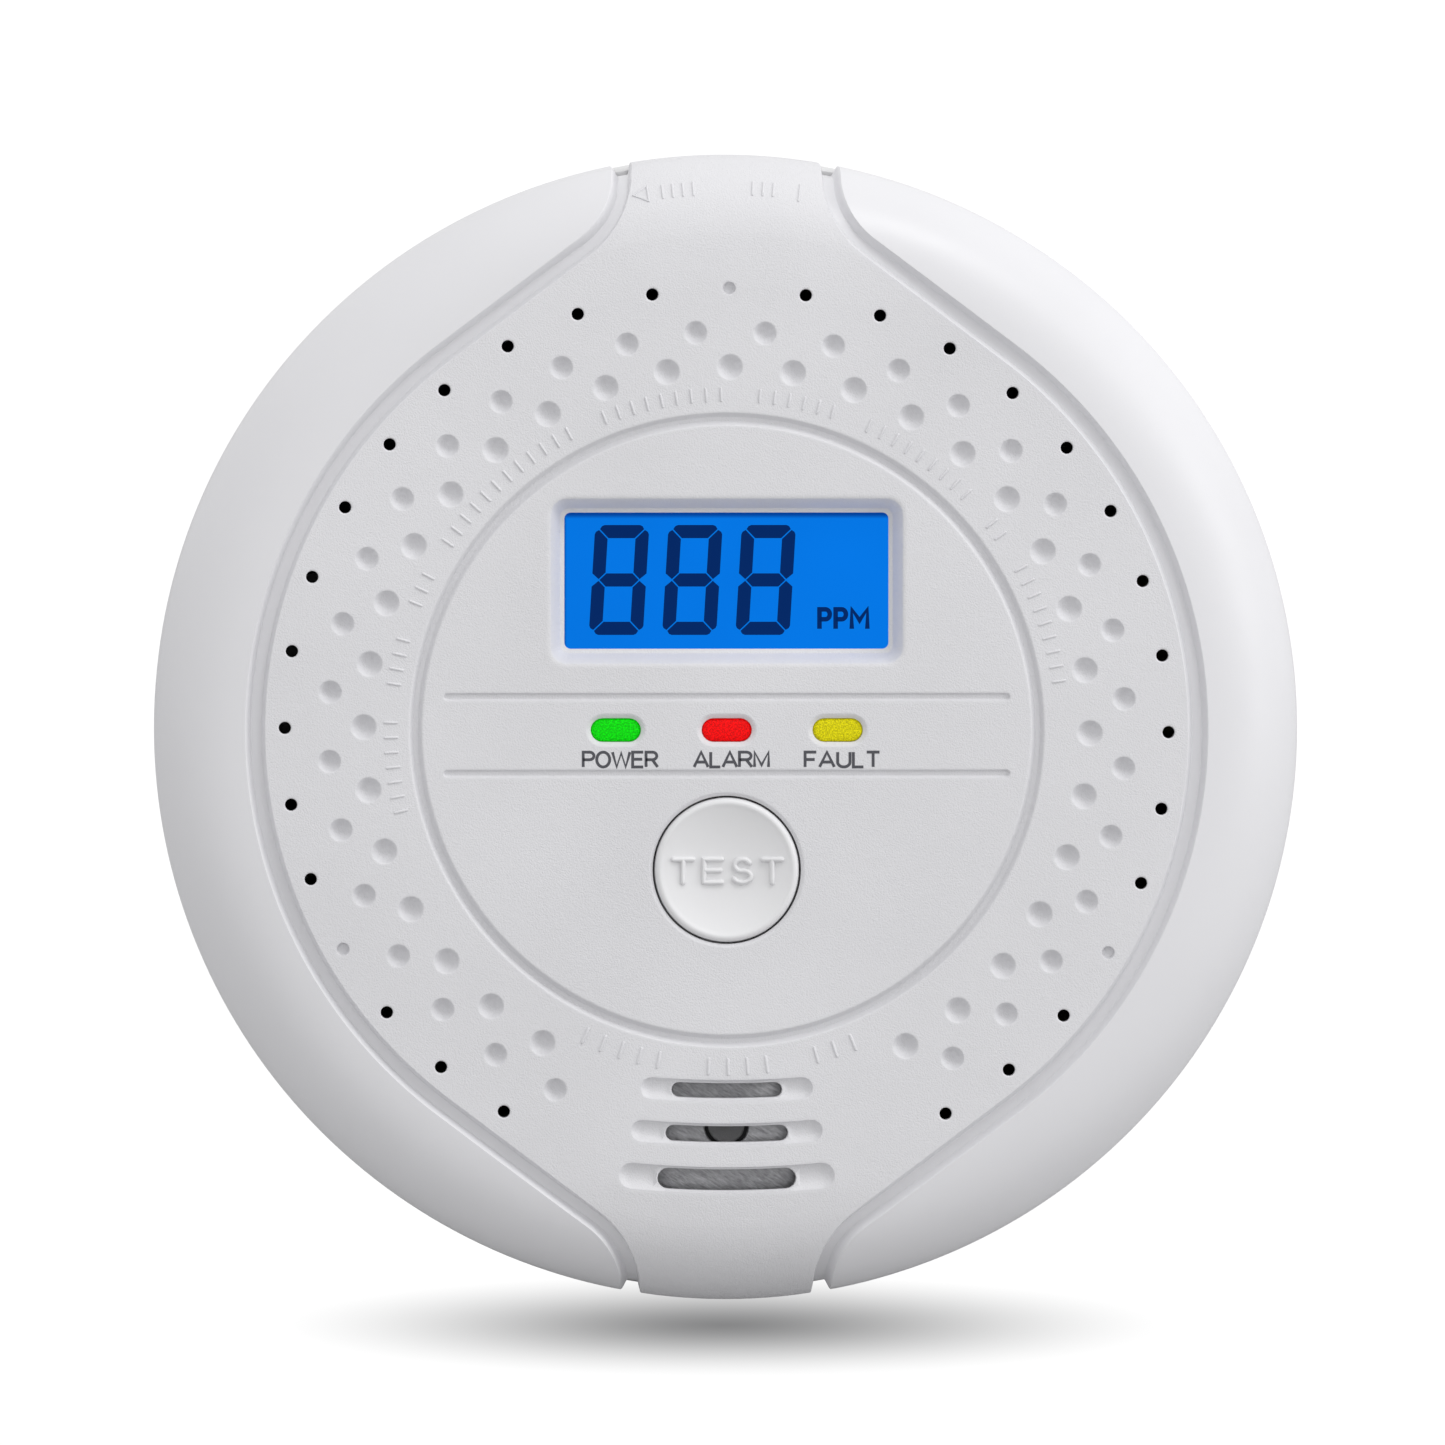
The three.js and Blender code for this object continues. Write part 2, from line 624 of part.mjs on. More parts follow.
function displayStrip() {
  return block(GLASS_WIDTH - 4, STRIP_HEIGHT, BOARD_FRONT + 0.1, GLASS_BACK - 0.1, 0, STRIP_Y);
}

function displayFrame() {
  const wall = 1.3;
  const clear = 0.6;
  const width = GLASS_WIDTH + clear;
  const height = GLASS_HEIGHT + clear;
  const floor = GLASS_BACK - 3.1;
  const outer = block(width + 2 * wall, height + 2 * wall, BOARD_FRONT + 0.1, GLASS_FRONT - 0.2, 0, WINDOW_Y);
  const pocket = block(width, height, floor, GLASS_FRONT + 1, 0, WINDOW_Y);
  const slit = block(GLASS_WIDTH - 3.4, STRIP_HEIGHT + 0.6, BOARD_FRONT - 1, floor + 1, 0, STRIP_Y);
  return subtractAll(outer, [pocket, slit]);
}

// ---------------------------------------------------------------- board and its components

function mainBoard() {
  const top = BOARD_HALF_HEIGHT;
  const outline = shapeOf([
    [BOARD_LEFT, top], [BOARD_LEFT, -top], [-TONGUE_HALF_WIDTH, -top],
    [-TONGUE_HALF_WIDTH + 3, TONGUE_END], [TONGUE_HALF_WIDTH - 3, TONGUE_END],
    [TONGUE_HALF_WIDTH, -top], [BOARD_RIGHT, -top], [BOARD_RIGHT, top],
  ]);
  const holes = boardScrewSpots.map(([x, y]) => rod(1.5, BOARD_BACK - 1, BOARD_FRONT + 1, x, y, 12));
  return subtractAll(plateOf(outline, BOARD_BACK, BOARD_FRONT), holes);
}

// A leaded can: rounded edge on top.
function can(radius, height, x, y) {
  const base = BOARD_FRONT + 0.05;
  const top = base + height;
  return revolve([
    [0, base], [radius, base], [radius, top - 0.4], [radius - 0.4, top], [0, top],
  ], 18).translate([x, y, 0]);
}

// A two-way header: open towards the front, where the plug goes in.
function socket(x, y) {
  const outer = block(5.2, 6.4, BOARD_FRONT + 0.05, BOARD_FRONT + 4.4, x, y);
  return outer.subtract(block(3.6, 4.8, BOARD_FRONT + 1.4, BOARD_FRONT + 6, x, y));
}

function controlChip() {
  const size = 9;
  const base = BOARD_FRONT + 0.05;
  const body = block(size, size, base, base + 1.6, -12, -18.5);
  const feet = [-3, -1, 1, 3].map((i) => block(size + 2, 0.7, base, base + 0.6, -12, -18.5 + i * 1.1));
  return addAll(body, feet);
}

// ---------------------------------------------------------------- gas sensor

function sensorBody() {
  const base = BOARD_FRONT + 0.05;
  return revolve([
    [0, base], [SENSOR_RADIUS, base], [SENSOR_RADIUS, base + 1.4], [SENSOR_RADIUS - 0.7, base + 1.4],
    [SENSOR_RADIUS - 0.7, SENSOR_FRONT - 1], [0, SENSOR_FRONT - 1],
  ], 24).translate([0, SENSOR_Y, 0]);
}

function sensorCap() {
  const bottom = BOARD_FRONT + 1.75;
  const inner = SENSOR_RADIUS - 0.4;
  const hole = 1.9;
  return revolve([
    [inner, bottom], [SENSOR_RADIUS, bottom], [SENSOR_RADIUS, SENSOR_FRONT - 0.8],
    [SENSOR_RADIUS - 0.8, SENSOR_FRONT], [hole, SENSOR_FRONT], [hole, SENSOR_FRONT - 0.7],
    [inner, SENSOR_FRONT - 0.7], [inner, bottom],
  ], 32).translate([0, SENSOR_Y, 0]);
}

function sensorMembrane() {
  return rod(1.6, SENSOR_FRONT - 0.7, SENSOR_FRONT - 0.2, 0, SENSOR_Y, 20);
}

// ---------------------------------------------------------------- sounder

function sounderCase() {
  const front = SOUNDER_FRONT;
  const outer = SOUNDER_RADIUS;
  const ledge = front - 3;
  const port = 1.6;
  return revolve([
    [outer - 2.2, SOUNDER_BACK], [outer, SOUNDER_BACK], [outer, front - 1.2], [outer - 1.2, front],
    [port, front], [port, front - 1.2], [outer - 2.6, front - 1.2], [outer - 2.6, ledge],
    [outer - 1.2, ledge], [outer - 1.2, ledge - 1], [outer - 2.2, ledge - 1.4],
    [outer - 2.2, SOUNDER_BACK],
  ], 24).translate([SOUNDER_X, SOUNDER_Y, 0]);
}

function sounderDisc() {
  const front = SOUNDER_FRONT - 3.2;
  return rod(SOUNDER_RADIUS - 1.6, front - 0.35, front, SOUNDER_X, SOUNDER_Y, 28);
}

// ---------------------------------------------------------------- battery contacts and cells

// Sheet contact on an end wall of the bay: a flat tab per cell with a pressed bump that meets the cell.
function contact(side, rows, hasTab) {
  const wallX = side * (BAY_HALF_LENGTH - 0.3 - CONTACT_SHEET / 2);
  const top = Math.max(...rows) * CELL_PITCH;
  const bottom = Math.min(...rows) * CELL_PITCH;
  const sheet = block(CONTACT_SHEET, top - bottom + 9, 8, BAY_ROOF_UNDER - 0.6, wallX, (top + bottom) / 2);
  const bumpLength = BAY_HALF_LENGTH - 0.5 - CELL_LENGTH / 2 - GAP;
  const bumps = rows.map((row) => {
    const geometry = new THREE.CylinderGeometry(2.6, 1.4, bumpLength, 16);
    geometry.rotateZ((-side * Math.PI) / 2);
    geometry.translate(side * (CELL_LENGTH / 2 + GAP + bumpLength / 2), row * CELL_PITCH, CELL_DEPTH);
    return solidOf(geometry);
  });
  const tab = block(CONTACT_SHEET, 3, BAY_ROOF_UNDER - 1, BAY_ROOF_TOP + 1.1, wallX, rows[0] * CELL_PITCH);
  return addAll(sheet, hasTab ? [...bumps, tab] : bumps);
}

// An AA cell lying along x; its button end points to the given side.
function cell(row, side) {
  const half = CELL_LENGTH / 2;
  const nub = 1.2;
  const body = revolve([
    [0, -half], [CELL_RADIUS - 0.5, -half], [CELL_RADIUS, -half + 0.5], [CELL_RADIUS, half - nub - 0.5],
    [CELL_RADIUS - 0.5, half - nub], [2.7, half - nub], [2.7, half], [0, half],
  ], 20);
  return body.rotate([0, side * 90, 0]).translate([0, row * CELL_PITCH, CELL_DEPTH]);
}

// ---------------------------------------------------------------- screws and leads

// A pan-head screw along z; the head is at the near end for the housing, the far end for the board.
function screw(x, y, headEnd, tip, headRadius, shankRadius) {
  const direction = Math.sign(tip - headEnd);
  const neck = headEnd + direction * 1.7;
  const head = rod(headRadius, Math.min(headEnd, neck), Math.max(headEnd, neck), x, y, 16);
  const shank = rod(shankRadius, Math.min(headEnd, tip) + 0.2, Math.max(headEnd, tip) - 0.2, x, y, 10);
  const driveDepth = headEnd + direction * 0.9;
  const over = headEnd - direction;
  const drive = [[2.6, 0.7], [0.7, 2.6]].map(([width, height]) => block(
    width, height, Math.min(driveDepth, over), Math.max(driveDepth, over), x, y,
  ));
  return subtractAll(head.add(shank), drive);
}

// ---------------------------------------------------------------- assembly

piece('mounting_plate', mountingPlate(), whitePlastic());
piece('rear_housing', rearHousing(), whitePlastic());
piece('front_cover', frontCover(), whitePlastic());
piece('test_button', testButton(), whitePlastic());
piece('switch_body', switchBody(), blackPlastic());
piece('switch_cover', switchCover(), nickel());
piece('switch_plunger', rod(1.7, SWITCH_TOP - 1.4, PLUNGER_TOP - 0.1, 0, BUTTON_Y, 16), blackPlastic());

[
  ['power', -LENS_PITCH, 0x18c825],
  ['alarm', 0, 0xe01818],
  ['fault', LENS_PITCH, 0xd9c91c],
].forEach(([name, x, colour]) => {
  piece(`${name}_lens`, lens(x), finish(colour, 0.25));
  piece(`${name}_led`, lamp(x), finish(colour, 0.15));
});

piece('lcd_glass', displayGlass(), finish(0x0a78e6, 0.1));
piece('lcd_backlight', displayBacklight(), finish(0xdfe9ff, 0.4));
piece('lcd_frame', displayFrame(), finish(0xf2f2f4, 0.5));
piece('lcd_connector_strip', displayStrip(), finish(0x9a9a9a, 0.8));

piece('main_board', mainBoard(), finish(0x14652d, 0.4));
piece('control_chip', controlChip(), blackPlastic());
piece('sounder_coil', can(3.9, 6.4, 13, -19.5), finish(0x2d2926, 0.7));
piece('capacitor_1', can(2.6, 5.6, 20.5, -13), finish(0x1c2740, 0.35));
piece('capacitor_2', can(2.6, 5.6, -18.5, -8.5), finish(0x1c2740, 0.35));
piece('battery_socket', socket(21.5, -3), finish(0xeeeae0, 0.5));
piece('sounder_socket', socket(-18.5, 0), finish(0xeeeae0, 0.5));

piece('co_sensor_body', sensorBody(), blackPlastic());
piece('co_sensor_cap', sensorCap(), steel());
piece('co_sensor_membrane', sensorMembrane(), finish(0x77787c, 0.9));
piece('sounder_case', sounderCase(), blackPlastic());
piece('sounder_disc', sounderDisc(), finish(0xc9a44a, 0.35, 1));

piece('contact_positive', contact(1, [1], true), nickel());
piece('contact_negative', contact(-1, [-1], true), nickel());
piece('contact_bridge_upper', contact(-1, [1, 0], false), nickel());
piece('contact_bridge_lower', contact(1, [0, -1], false), nickel());
[1, -1, 1].forEach((side, i) => {
  piece(`aa_cell_${i + 1}`, cell(1 - i, side), finish(0x3a3f45, 0.35, 0.6));
});

BOSS_ANGLES.forEach((angle, i) => {
  const [x, y] = polar(BOSS_RING_RADIUS, angle);
  piece(`housing_screw_${i + 1}`, screw(x, y, SEAM_DEPTH - 3.9, 27, 2.6, SCREW_RADIUS), steel());
});
boardScrewSpots.forEach(([x, y], i) => {
  piece(`board_screw_${i + 1}`, screw(x, y, BOARD_FRONT + 1.95, BAY_ROOF_TOP + 0.4, 2, 0.9), steel());
});

const tabX = BAY_HALF_LENGTH - 0.5;
const leadLevel = (BAY_ROOF_TOP + BOARD_BACK) / 2;
piece('battery_lead_red', wire([
  [tabX + 1.1, CELL_PITCH, leadLevel], [tabX + 1.3, 9, 25.5], [tabX + 0.6, 2, 30.2], [25.4, -1.2, 32.6],
  [21.9, -1.9, 32.2], [21.5, -1.9, 29.6],
]), copperRed());
piece('battery_lead_black', wire([
  [-tabX + 1.1, -CELL_PITCH, leadLevel], [-22, -16, leadLevel], [-14, -17, leadLevel],
  [0, -12, leadLevel], [15, -10, leadLevel], [26.6, -8, leadLevel], [28.4, -6.4, 27.5], [27, -4.4, 31.6],
  [22.6, -4.1, 33], [21.5, -4.1, 29.6],
]), leadBlack());
piece('sounder_lead_red', wire([
  [-29, 7.6, 28.4], [-28.6, 7.6, 24.6], [-26.5, 5.5, 23.4], [-24.7, -0.8, 23.3], [-23.9, -3, 26.5],
  [-23.2, -1.2, 31.2], [-19.8, 1.1, 32.2], [-18.5, 1.1, 29.6],
]), copperRed());
piece('sounder_lead_black', wire([
  [-29.6, 0.6, 28.4], [-29.2, 0.2, 24.6], [-27, -1.5, 23.4], [-24.6, -4.2, leadLevel], [-24, -5, 26.5],
  [-22.9, -3.4, 31.4], [-19.6, -1.2, 32.2], [-18.5, -1.1, 29.6],
]), leadBlack());

export default assembly;
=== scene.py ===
"""Looks of a round carbon monoxide detector, built round its fixed CAD frame.

Shapes are worked out in wall coordinates, in millimetres: x to the right, y up and d out from the
wall. place() turns them into the row frame, in metres, where the front faces -Y and up is +Z.
"""

import math

import bmesh
import bpy
import numpy as np
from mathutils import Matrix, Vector
from mathutils.geometry import delaunay_2d_cdt


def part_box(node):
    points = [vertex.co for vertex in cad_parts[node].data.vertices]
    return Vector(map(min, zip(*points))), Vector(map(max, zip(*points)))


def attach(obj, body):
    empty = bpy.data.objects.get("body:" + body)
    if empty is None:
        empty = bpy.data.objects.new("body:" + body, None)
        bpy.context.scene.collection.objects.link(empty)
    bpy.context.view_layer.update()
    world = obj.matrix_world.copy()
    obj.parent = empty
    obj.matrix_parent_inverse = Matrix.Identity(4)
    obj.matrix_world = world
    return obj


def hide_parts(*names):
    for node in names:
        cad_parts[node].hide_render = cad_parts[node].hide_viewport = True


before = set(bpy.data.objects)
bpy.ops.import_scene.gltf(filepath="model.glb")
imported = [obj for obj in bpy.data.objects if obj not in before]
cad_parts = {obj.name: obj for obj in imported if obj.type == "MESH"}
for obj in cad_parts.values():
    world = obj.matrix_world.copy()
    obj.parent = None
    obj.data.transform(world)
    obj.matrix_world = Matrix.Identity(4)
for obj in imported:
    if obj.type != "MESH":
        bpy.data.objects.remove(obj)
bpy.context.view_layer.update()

MM = 0.001
TAU = 2 * math.pi


def place(points):
    """Wall coordinates in millimetres to the row frame in metres."""
    p = np.asarray(points, float).reshape(-1, 3)
    return np.stack([p[:, 0], -p[:, 2], p[:, 1]], axis=1) * MM


def wall_box(node):
    """A CAD node's box in wall coordinates: its low corner and high corner in millimetres."""
    low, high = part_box(node)
    return (
        np.array([low.x, low.z, -high.y]) / MM,
        np.array([high.x, high.z, -low.y]) / MM,
    )


def middle(node):
    low, high = wall_box(node)
    return (low + high) / 2


# ---- driving sizes

COVER_LOW, COVER_HIGH = wall_box("front_cover")
OUTER_R = COVER_HIGH[0]
FRONT_D = COVER_HIGH[2]
SEAM_D = COVER_LOW[2]
COVER_WALL = 2.2
MARK_HEIGHT = 0.14
PANEL_D = FRONT_D - MARK_HEIGHT - 0.01

FLAT_R = 40.4
ROLL_R = 4.6
EDGE_SLOPE = 66.0
START_SLOPE = 4.0
SLOPE_POWER = 1.9

HOLE_STEP = 10
PINHOLE_TURN, DIMPLE_TURN = 0.3, 0.5
PINHOLE_RING, PINHOLE_R = 38.56, 0.55
OUTER_DIMPLE_RING, OUTER_DIMPLE_R = 34.78, 1.0
INNER_DIMPLE_RING, INNER_DIMPLE_R = 31.69, 1.1
DIMPLE_DEPTH = 0.85
DIMPLE_LIP = ((1.16, 0), (1.06, 0), (1.01, -0.02))
BLIND_LEVELS = ((1.5, 0), (1.3, 0), (1.08, -0.02), (1.0, -0.1), (0.93, -0.42), (0.8, -0.5))
BOSS_ANGLES = (0, 120, -120)
BOSS_RING, BOSS_R, BOSS_BORE_R = 38.7, 3.2, 1.6
BOSS_BORE_END, BOSS_TOP = 28.0, 34.95

DISC_GROOVE_R, DISC_GROOVE_HALF, DISC_GROOVE_DEPTH = 27.15, 0.6, 0.6
WING_GROOVE_R = 41.15
WING_GROOVE_HALF = 0.9
WING_EDGE_SHARE = 1.05
WING_GROOVE_DEPTH = 1.0
WING_LEAVE = 37.0
WING_FILLET = 8.4
WING_EXIT_TOP, WING_EXIT_BOTTOM = 9.1, 8.3

WINDOW_SIZE = (28.3, 11.9)
BEVEL_SIZE = (30.9, 14.55)
BEVEL_DEPTH = 2.0
LINE_HALF, LINE_Y = 24.4, (2.9, -3.8)
LINE_LEVELS = ((0.54, 0), (0.44, 0), (0.35, -0.02), (0.27, -0.18), (0.17, -0.3), (0.07, -0.31))
LENS_PITCH = middle("fault_lens")[0]
LENS_HOLE = (4.4, 2.07)
BUTTON_HOLE_R = 6.475
GRILLE = (
    # middle height, through slot length and height, recess length and height
    (-31.5, 9.65, 1.3, 15.0, 1.85),
    (-35.3, 10.7, 1.4, 16.7, 1.85),
    (-39.3, 12.1, 1.85, 18.8, 2.2),
)
GRILLE_BEND_R = 85.0
SCOOP_DEPTH = 0.62
RING_SEGMENTS, BIG_SIDES = 256, 192
RING_STEP, RING_CLEARANCE, BACK_RING_STEP = 0.62, 1.45, 1.6
SHARPEST_MITRE = 0.62
CRISP_ANGLE = 35.0


# ---- plane outlines


def polar(radius, degrees):
    """A point on a circle; the angle runs clockwise from the top as seen from the front."""
    a = math.radians(degrees)
    return np.array([radius * math.sin(a), radius * math.cos(a)])


def circle(x, y, radius, count):
    a = np.arange(count) * TAU / count
    return np.stack([x + radius * np.cos(a), y + radius * np.sin(a)], axis=1)


def rounded_box(x, y, width, height, radius, corner_steps=6):
    """A closed outline, anticlockwise, with rounded corners."""
    points = []
    for k, (sx, sy) in enumerate(((1, 1), (-1, 1), (-1, -1), (1, -1))):
        cx, cy = x + sx * (width / 2 - radius), y + sy * (height / 2 - radius)
        for i in range(corner_steps + 1):
            a = math.pi / 2 * (k + i / corner_steps)
            points.append((cx + radius * math.cos(a), cy + radius * math.sin(a)))
    return np.array(points)


def left_of(along):
    """Unit vectors to the left of some directions."""
    along = along / np.maximum(np.linalg.norm(along, axis=1), 1e-9)[:, None]
    return np.stack([-along[:, 1], along[:, 0]], axis=1)


def band(line, half, cap_steps=8):
    """A closed outline at a constant distance round an open line, with round ends."""
    line = np.asarray(line, float)
    normal = left_of(np.gradient(line, axis=0))
    left, right = line + normal * half, (line - normal * half)[::-1]

    def cap(centre, start):
        turn = [start - math.pi * i / cap_steps for i in range(1, cap_steps)]
        return np.array([centre + half * np.array([math.cos(t), math.sin(t)]) for t in turn])

    end = math.atan2(*(normal[-1][::-1]))
    begin = math.atan2(*(-normal[0][::-1]))
    return np.concatenate([left, cap(line[-1], end), right, cap(line[0], begin)])


def obround(x, y, width, height):
    """A closed outline of a round-ended slot."""
    reach = (width - height) / 2
    return band([(x - reach, y), (x + reach, y)], height / 2, 10)


def slot_line(length, height, y, steps=14):
    """Middle line of a grille slot, which bends upward a little toward its ends."""
    x = np.linspace(-0.5, 0.5, steps) * (length - height)
    return np.stack([x, y + x * x / (2 * GRILLE_BEND_R)], axis=1)


def inside(points, outline):
    """Which points lie inside a closed outline."""
    x, y = points[:, 0], points[:, 1]
    hit = np.zeros(len(points), bool)
    for (x0, y0), (x1, y1) in zip(outline, np.roll(outline, -1, axis=0)):
        if y0 == y1:
            continue
        crosses = (y0 > y) != (y1 > y)
        hit ^= crosses & (x < (x1 - x0) * (y - y0) / (y1 - y0) + x0)
    return hit


# ---- skins of the cover


class Skin:
    """A surface of revolution, laid out flat: u is the distance along it from the middle."""

    def __init__(self, radius, depth):
        self.r, self.d = np.asarray(radius), np.asarray(depth)
        steps = np.hypot(np.diff(self.r), np.diff(self.d))
        self.u = np.concatenate([[0], np.cumsum(steps)])
        tr, td = np.gradient(self.r, self.u), np.gradient(self.d, self.u)
        size = np.hypot(tr, td)
        self.nr, self.nd = -td / size, tr / size
        self.end = self.u[-1]

    def unroll(self, radius):
        """Distance along the skin at a radius, before the wall turns straight down."""
        keep = self.r < OUTER_R - 0.001
        return np.interp(radius, self.r[keep], self.u[keep])

    def lift(self, plane, push):
        """Points of the flat layout, pushed out along the skin's normal, as wall coordinates."""
        plane = np.asarray(plane, float)
        u = np.hypot(plane[:, 0], plane[:, 1])
        away = plane / np.maximum(u, 1e-9)[:, None]
        r = np.interp(u, self.u, self.r) + np.interp(u, self.u, self.nr) * push
        d = np.interp(u, self.u, self.d) + np.interp(u, self.u, self.nd) * push
        return np.column_stack([away * r[:, None], d])

    def offset(self, distance):
        """The same skin drawn inward, ending at the same depth."""
        r, d = self.r - self.nr * distance, self.d - self.nd * distance
        r, d = np.maximum.accumulate(np.maximum(r, 0)), np.minimum.accumulate(d)
        return Skin(r, d)


def cover_skin():
    """The outside of the cover: flat, then steeper and steeper, a round edge and a straight wall."""
    flat = np.linspace(0, FLAT_R, 60)
    r = np.linspace(FLAT_R, OUTER_R - ROLL_R * (1 - math.sin(math.radians(EDGE_SLOPE))), 90)
    share = (r - FLAT_R) / (r[-1] - FLAT_R)
    slope = np.tan(np.radians(START_SLOPE + (EDGE_SLOPE - START_SLOPE) * share**SLOPE_POWER))
    drop = np.concatenate([[0], np.cumsum((slope[1:] + slope[:-1]) / 2 * np.diff(r))])
    angle = np.radians(np.linspace(EDGE_SLOPE, 90, 12))[1:]
    roll_r = OUTER_R - ROLL_R * (1 - np.sin(angle))
    roll_d = PANEL_D - drop[-1] - ROLL_R * (math.cos(math.radians(EDGE_SLOPE)) - np.cos(angle))
    wall_d = np.linspace(roll_d[-1], SEAM_D, 20)[1:]
    radius = np.concatenate([flat, r[1:], roll_r, np.full(len(wall_d), OUTER_R)])
    depth = np.concatenate([np.full(len(flat), PANEL_D), PANEL_D - drop[1:], roll_d, wall_d])
    return Skin(radius, depth)


class Sheet:
    """A flat layout of loops, each with its own push, joined into one triangle mesh."""

    def __init__(self):
        self.points, self.push, self.edges, self.count = [], [], [], 0

    def line(self, points, push=0.0, closed=True):
        points = np.asarray(points, float)
        first, n = self.count, len(points)
        self.points.append(points)
        self.push.append(np.broadcast_to(np.asarray(push, float), n))
        last = n if closed else n - 1
        self.edges += [(first + i, first + (i + 1) % n) for i in range(last)]
        self.count += n
        return range(first, first + n)

    def lines(self, outline_at, levels):
        """Adds one outline for each (size, push) pair."""
        for size, push in levels:
            self.line(outline_at(size), push)

    def scatter(self, points, push=0.0):
        self.points.append(points)
        self.push.append(np.full(len(points), push))
        self.count += len(points)

    def triangles(self, holes):
        """The layout's points, pushes and triangles, with every hole outline left open."""
        points, push = np.concatenate(self.points), np.concatenate(self.push)
        found, _, faces, source, _, _ = delaunay_2d_cdt(
            [Vector(p) for p in points], self.edges, [], 0, 1e-6, True
        )
        if len(found) != len(points):
            raise ValueError(f"layout lines cross: {len(points)} points became {len(found)}")
        order = np.array([ids[0] for ids in source])
        faces = order[np.array(faces)]
        centre = points[faces].mean(axis=1)
        keep = np.ones(len(faces), bool)
        for outline in holes:
            low, high = outline.min(axis=0), outline.max(axis=0)
            near = np.all((centre >= low) & (centre <= high), axis=1)
            index = np.flatnonzero(near)
            keep[index[inside(centre[index], outline)]] = False
        return points, push, faces[keep]


# ---- cover features


def groove_push(share, flat=0.5):
    """Depth of a flat-bottomed groove with rounded lips, 0 to 1 from its middle to its edge."""
    rise = np.clip((share - flat) / (1 - flat), 0, 1)
    return rise * rise * (3 - 2 * rise) - 1


def wing_line(side, skin):
    """Middle line of a wing groove in the flat layout, from the rim below to the rim above."""

    def quarter(exit_x):
        leave = math.radians(WING_LEAVE)
        bow = [polar(WING_GROOVE_R, a) for a in np.linspace(90, WING_LEAVE, 44)]
        x0, y0 = bow[-1]
        corner_y = y0 + (x0 - exit_x) * math.tan(leave)
        turn = math.pi / 2 - leave
        reach = WING_FILLET * math.tan(turn / 2)
        centre = np.array([exit_x + WING_FILLET, corner_y + reach])
        angles = np.linspace(math.pi + turn, math.pi, 16)
        fillet = [centre + WING_FILLET * np.array([math.cos(a), math.sin(a)]) for a in angles]
        straight = [bow[-1] + (fillet[0] - bow[-1]) * s for s in np.linspace(0, 1, 12)[1:-1]]
        points = np.array(bow + straight + fillet)
        points = points[np.hypot(*points.T) < OUTER_R - 1.2]
        radius = np.hypot(*points.T)
        laid = points * (skin.unroll(radius) / radius)[:, None]
        aim = math.degrees(math.atan2(exit_x, math.sqrt(OUTER_R**2 - exit_x**2)))
        rest = np.linspace(np.hypot(*laid[-1]), skin.end, 16)[1:]
        here = math.degrees(math.atan2(*laid[-1]))
        turns = here + (aim - here) * np.minimum(1, (rest - rest[0]) / 2.5 + 0.35)
        return np.concatenate([laid, [polar(u, a) for u, a in zip(rest, turns)]])

    upper, lower = quarter(WING_EXIT_TOP), quarter(WING_EXIT_BOTTOM)
    line = np.concatenate([(lower * [1, -1])[::-1], upper[1:]])
    return line * [side, 1]


def offset_line(line, skin, distance):
    """A line beside a groove's middle line, at a true distance on the skin."""
    normal = left_of(np.gradient(line, axis=0))
    u = np.hypot(*line.T)
    stretch = u / np.interp(u, skin.u, skin.r)
    moved = line + normal * (distance * stretch)[:, None]
    for end in (0, -1):
        moved[end] *= skin.end / np.hypot(*moved[end])
    return moved


GROOVE_HALF_SHARES = (0.0, 0.3, 0.5, 0.6, 0.7, 0.8, 0.9, 1.0, 1.2)
GROOVE_SHARES = tuple(-k for k in GROOVE_HALF_SHARES[:0:-1]) + GROOVE_HALF_SHARES


def add_wing_grooves(sheet, skin):
    """Adds both grooves and returns the angles where they reach the seam and the wing outlines."""
    ends, wings = [], []
    for side in (-1, 1):
        line = wing_line(side, skin)
        for share in GROOVE_SHARES:
            moved = offset_line(line, skin, share * WING_GROOVE_HALF)
            sheet.line(moved, groove_push(abs(share)) * WING_GROOVE_DEPTH, closed=False)
            ends += [math.degrees(math.atan2(*moved[i])) for i in (0, -1)]
        wings.append(line)
    return ends, wings


def add_dimple(sheet, centre, radius):
    """A shallow ball-shaped dimple with a softened edge."""
    bowl = [(share, -DIMPLE_DEPTH * (1 - share**3)) for share in (0.96, 0.85, 0.65, 0.4, 0.2)]
    sheet.lines(lambda share: circle(*centre, radius * share, 20), [*DIMPLE_LIP, *bowl])
    sheet.scatter(np.array([centre]), -DIMPLE_DEPTH)


def add_hole(sheet, outline_at, edge=0.1):
    """A through hole with a softened edge; outline_at gives the outline grown by a distance."""
    lip = edge * 1.15 + 0.04
    sheet.lines(outline_at, ((lip + 0.08, 0), (lip, 0), (edge, -0.02), (edge * 0.15, -edge * 0.85)))
    rim = outline_at(0)
    return rim, sheet.line(rim, -edge)


def scoop_push(share):
    """Depth of a ball-ended scoop against distance from its middle line, 0 to 1 at its edge."""
    return -SCOOP_DEPTH * math.sqrt(max(0.0, 1 - share * share))


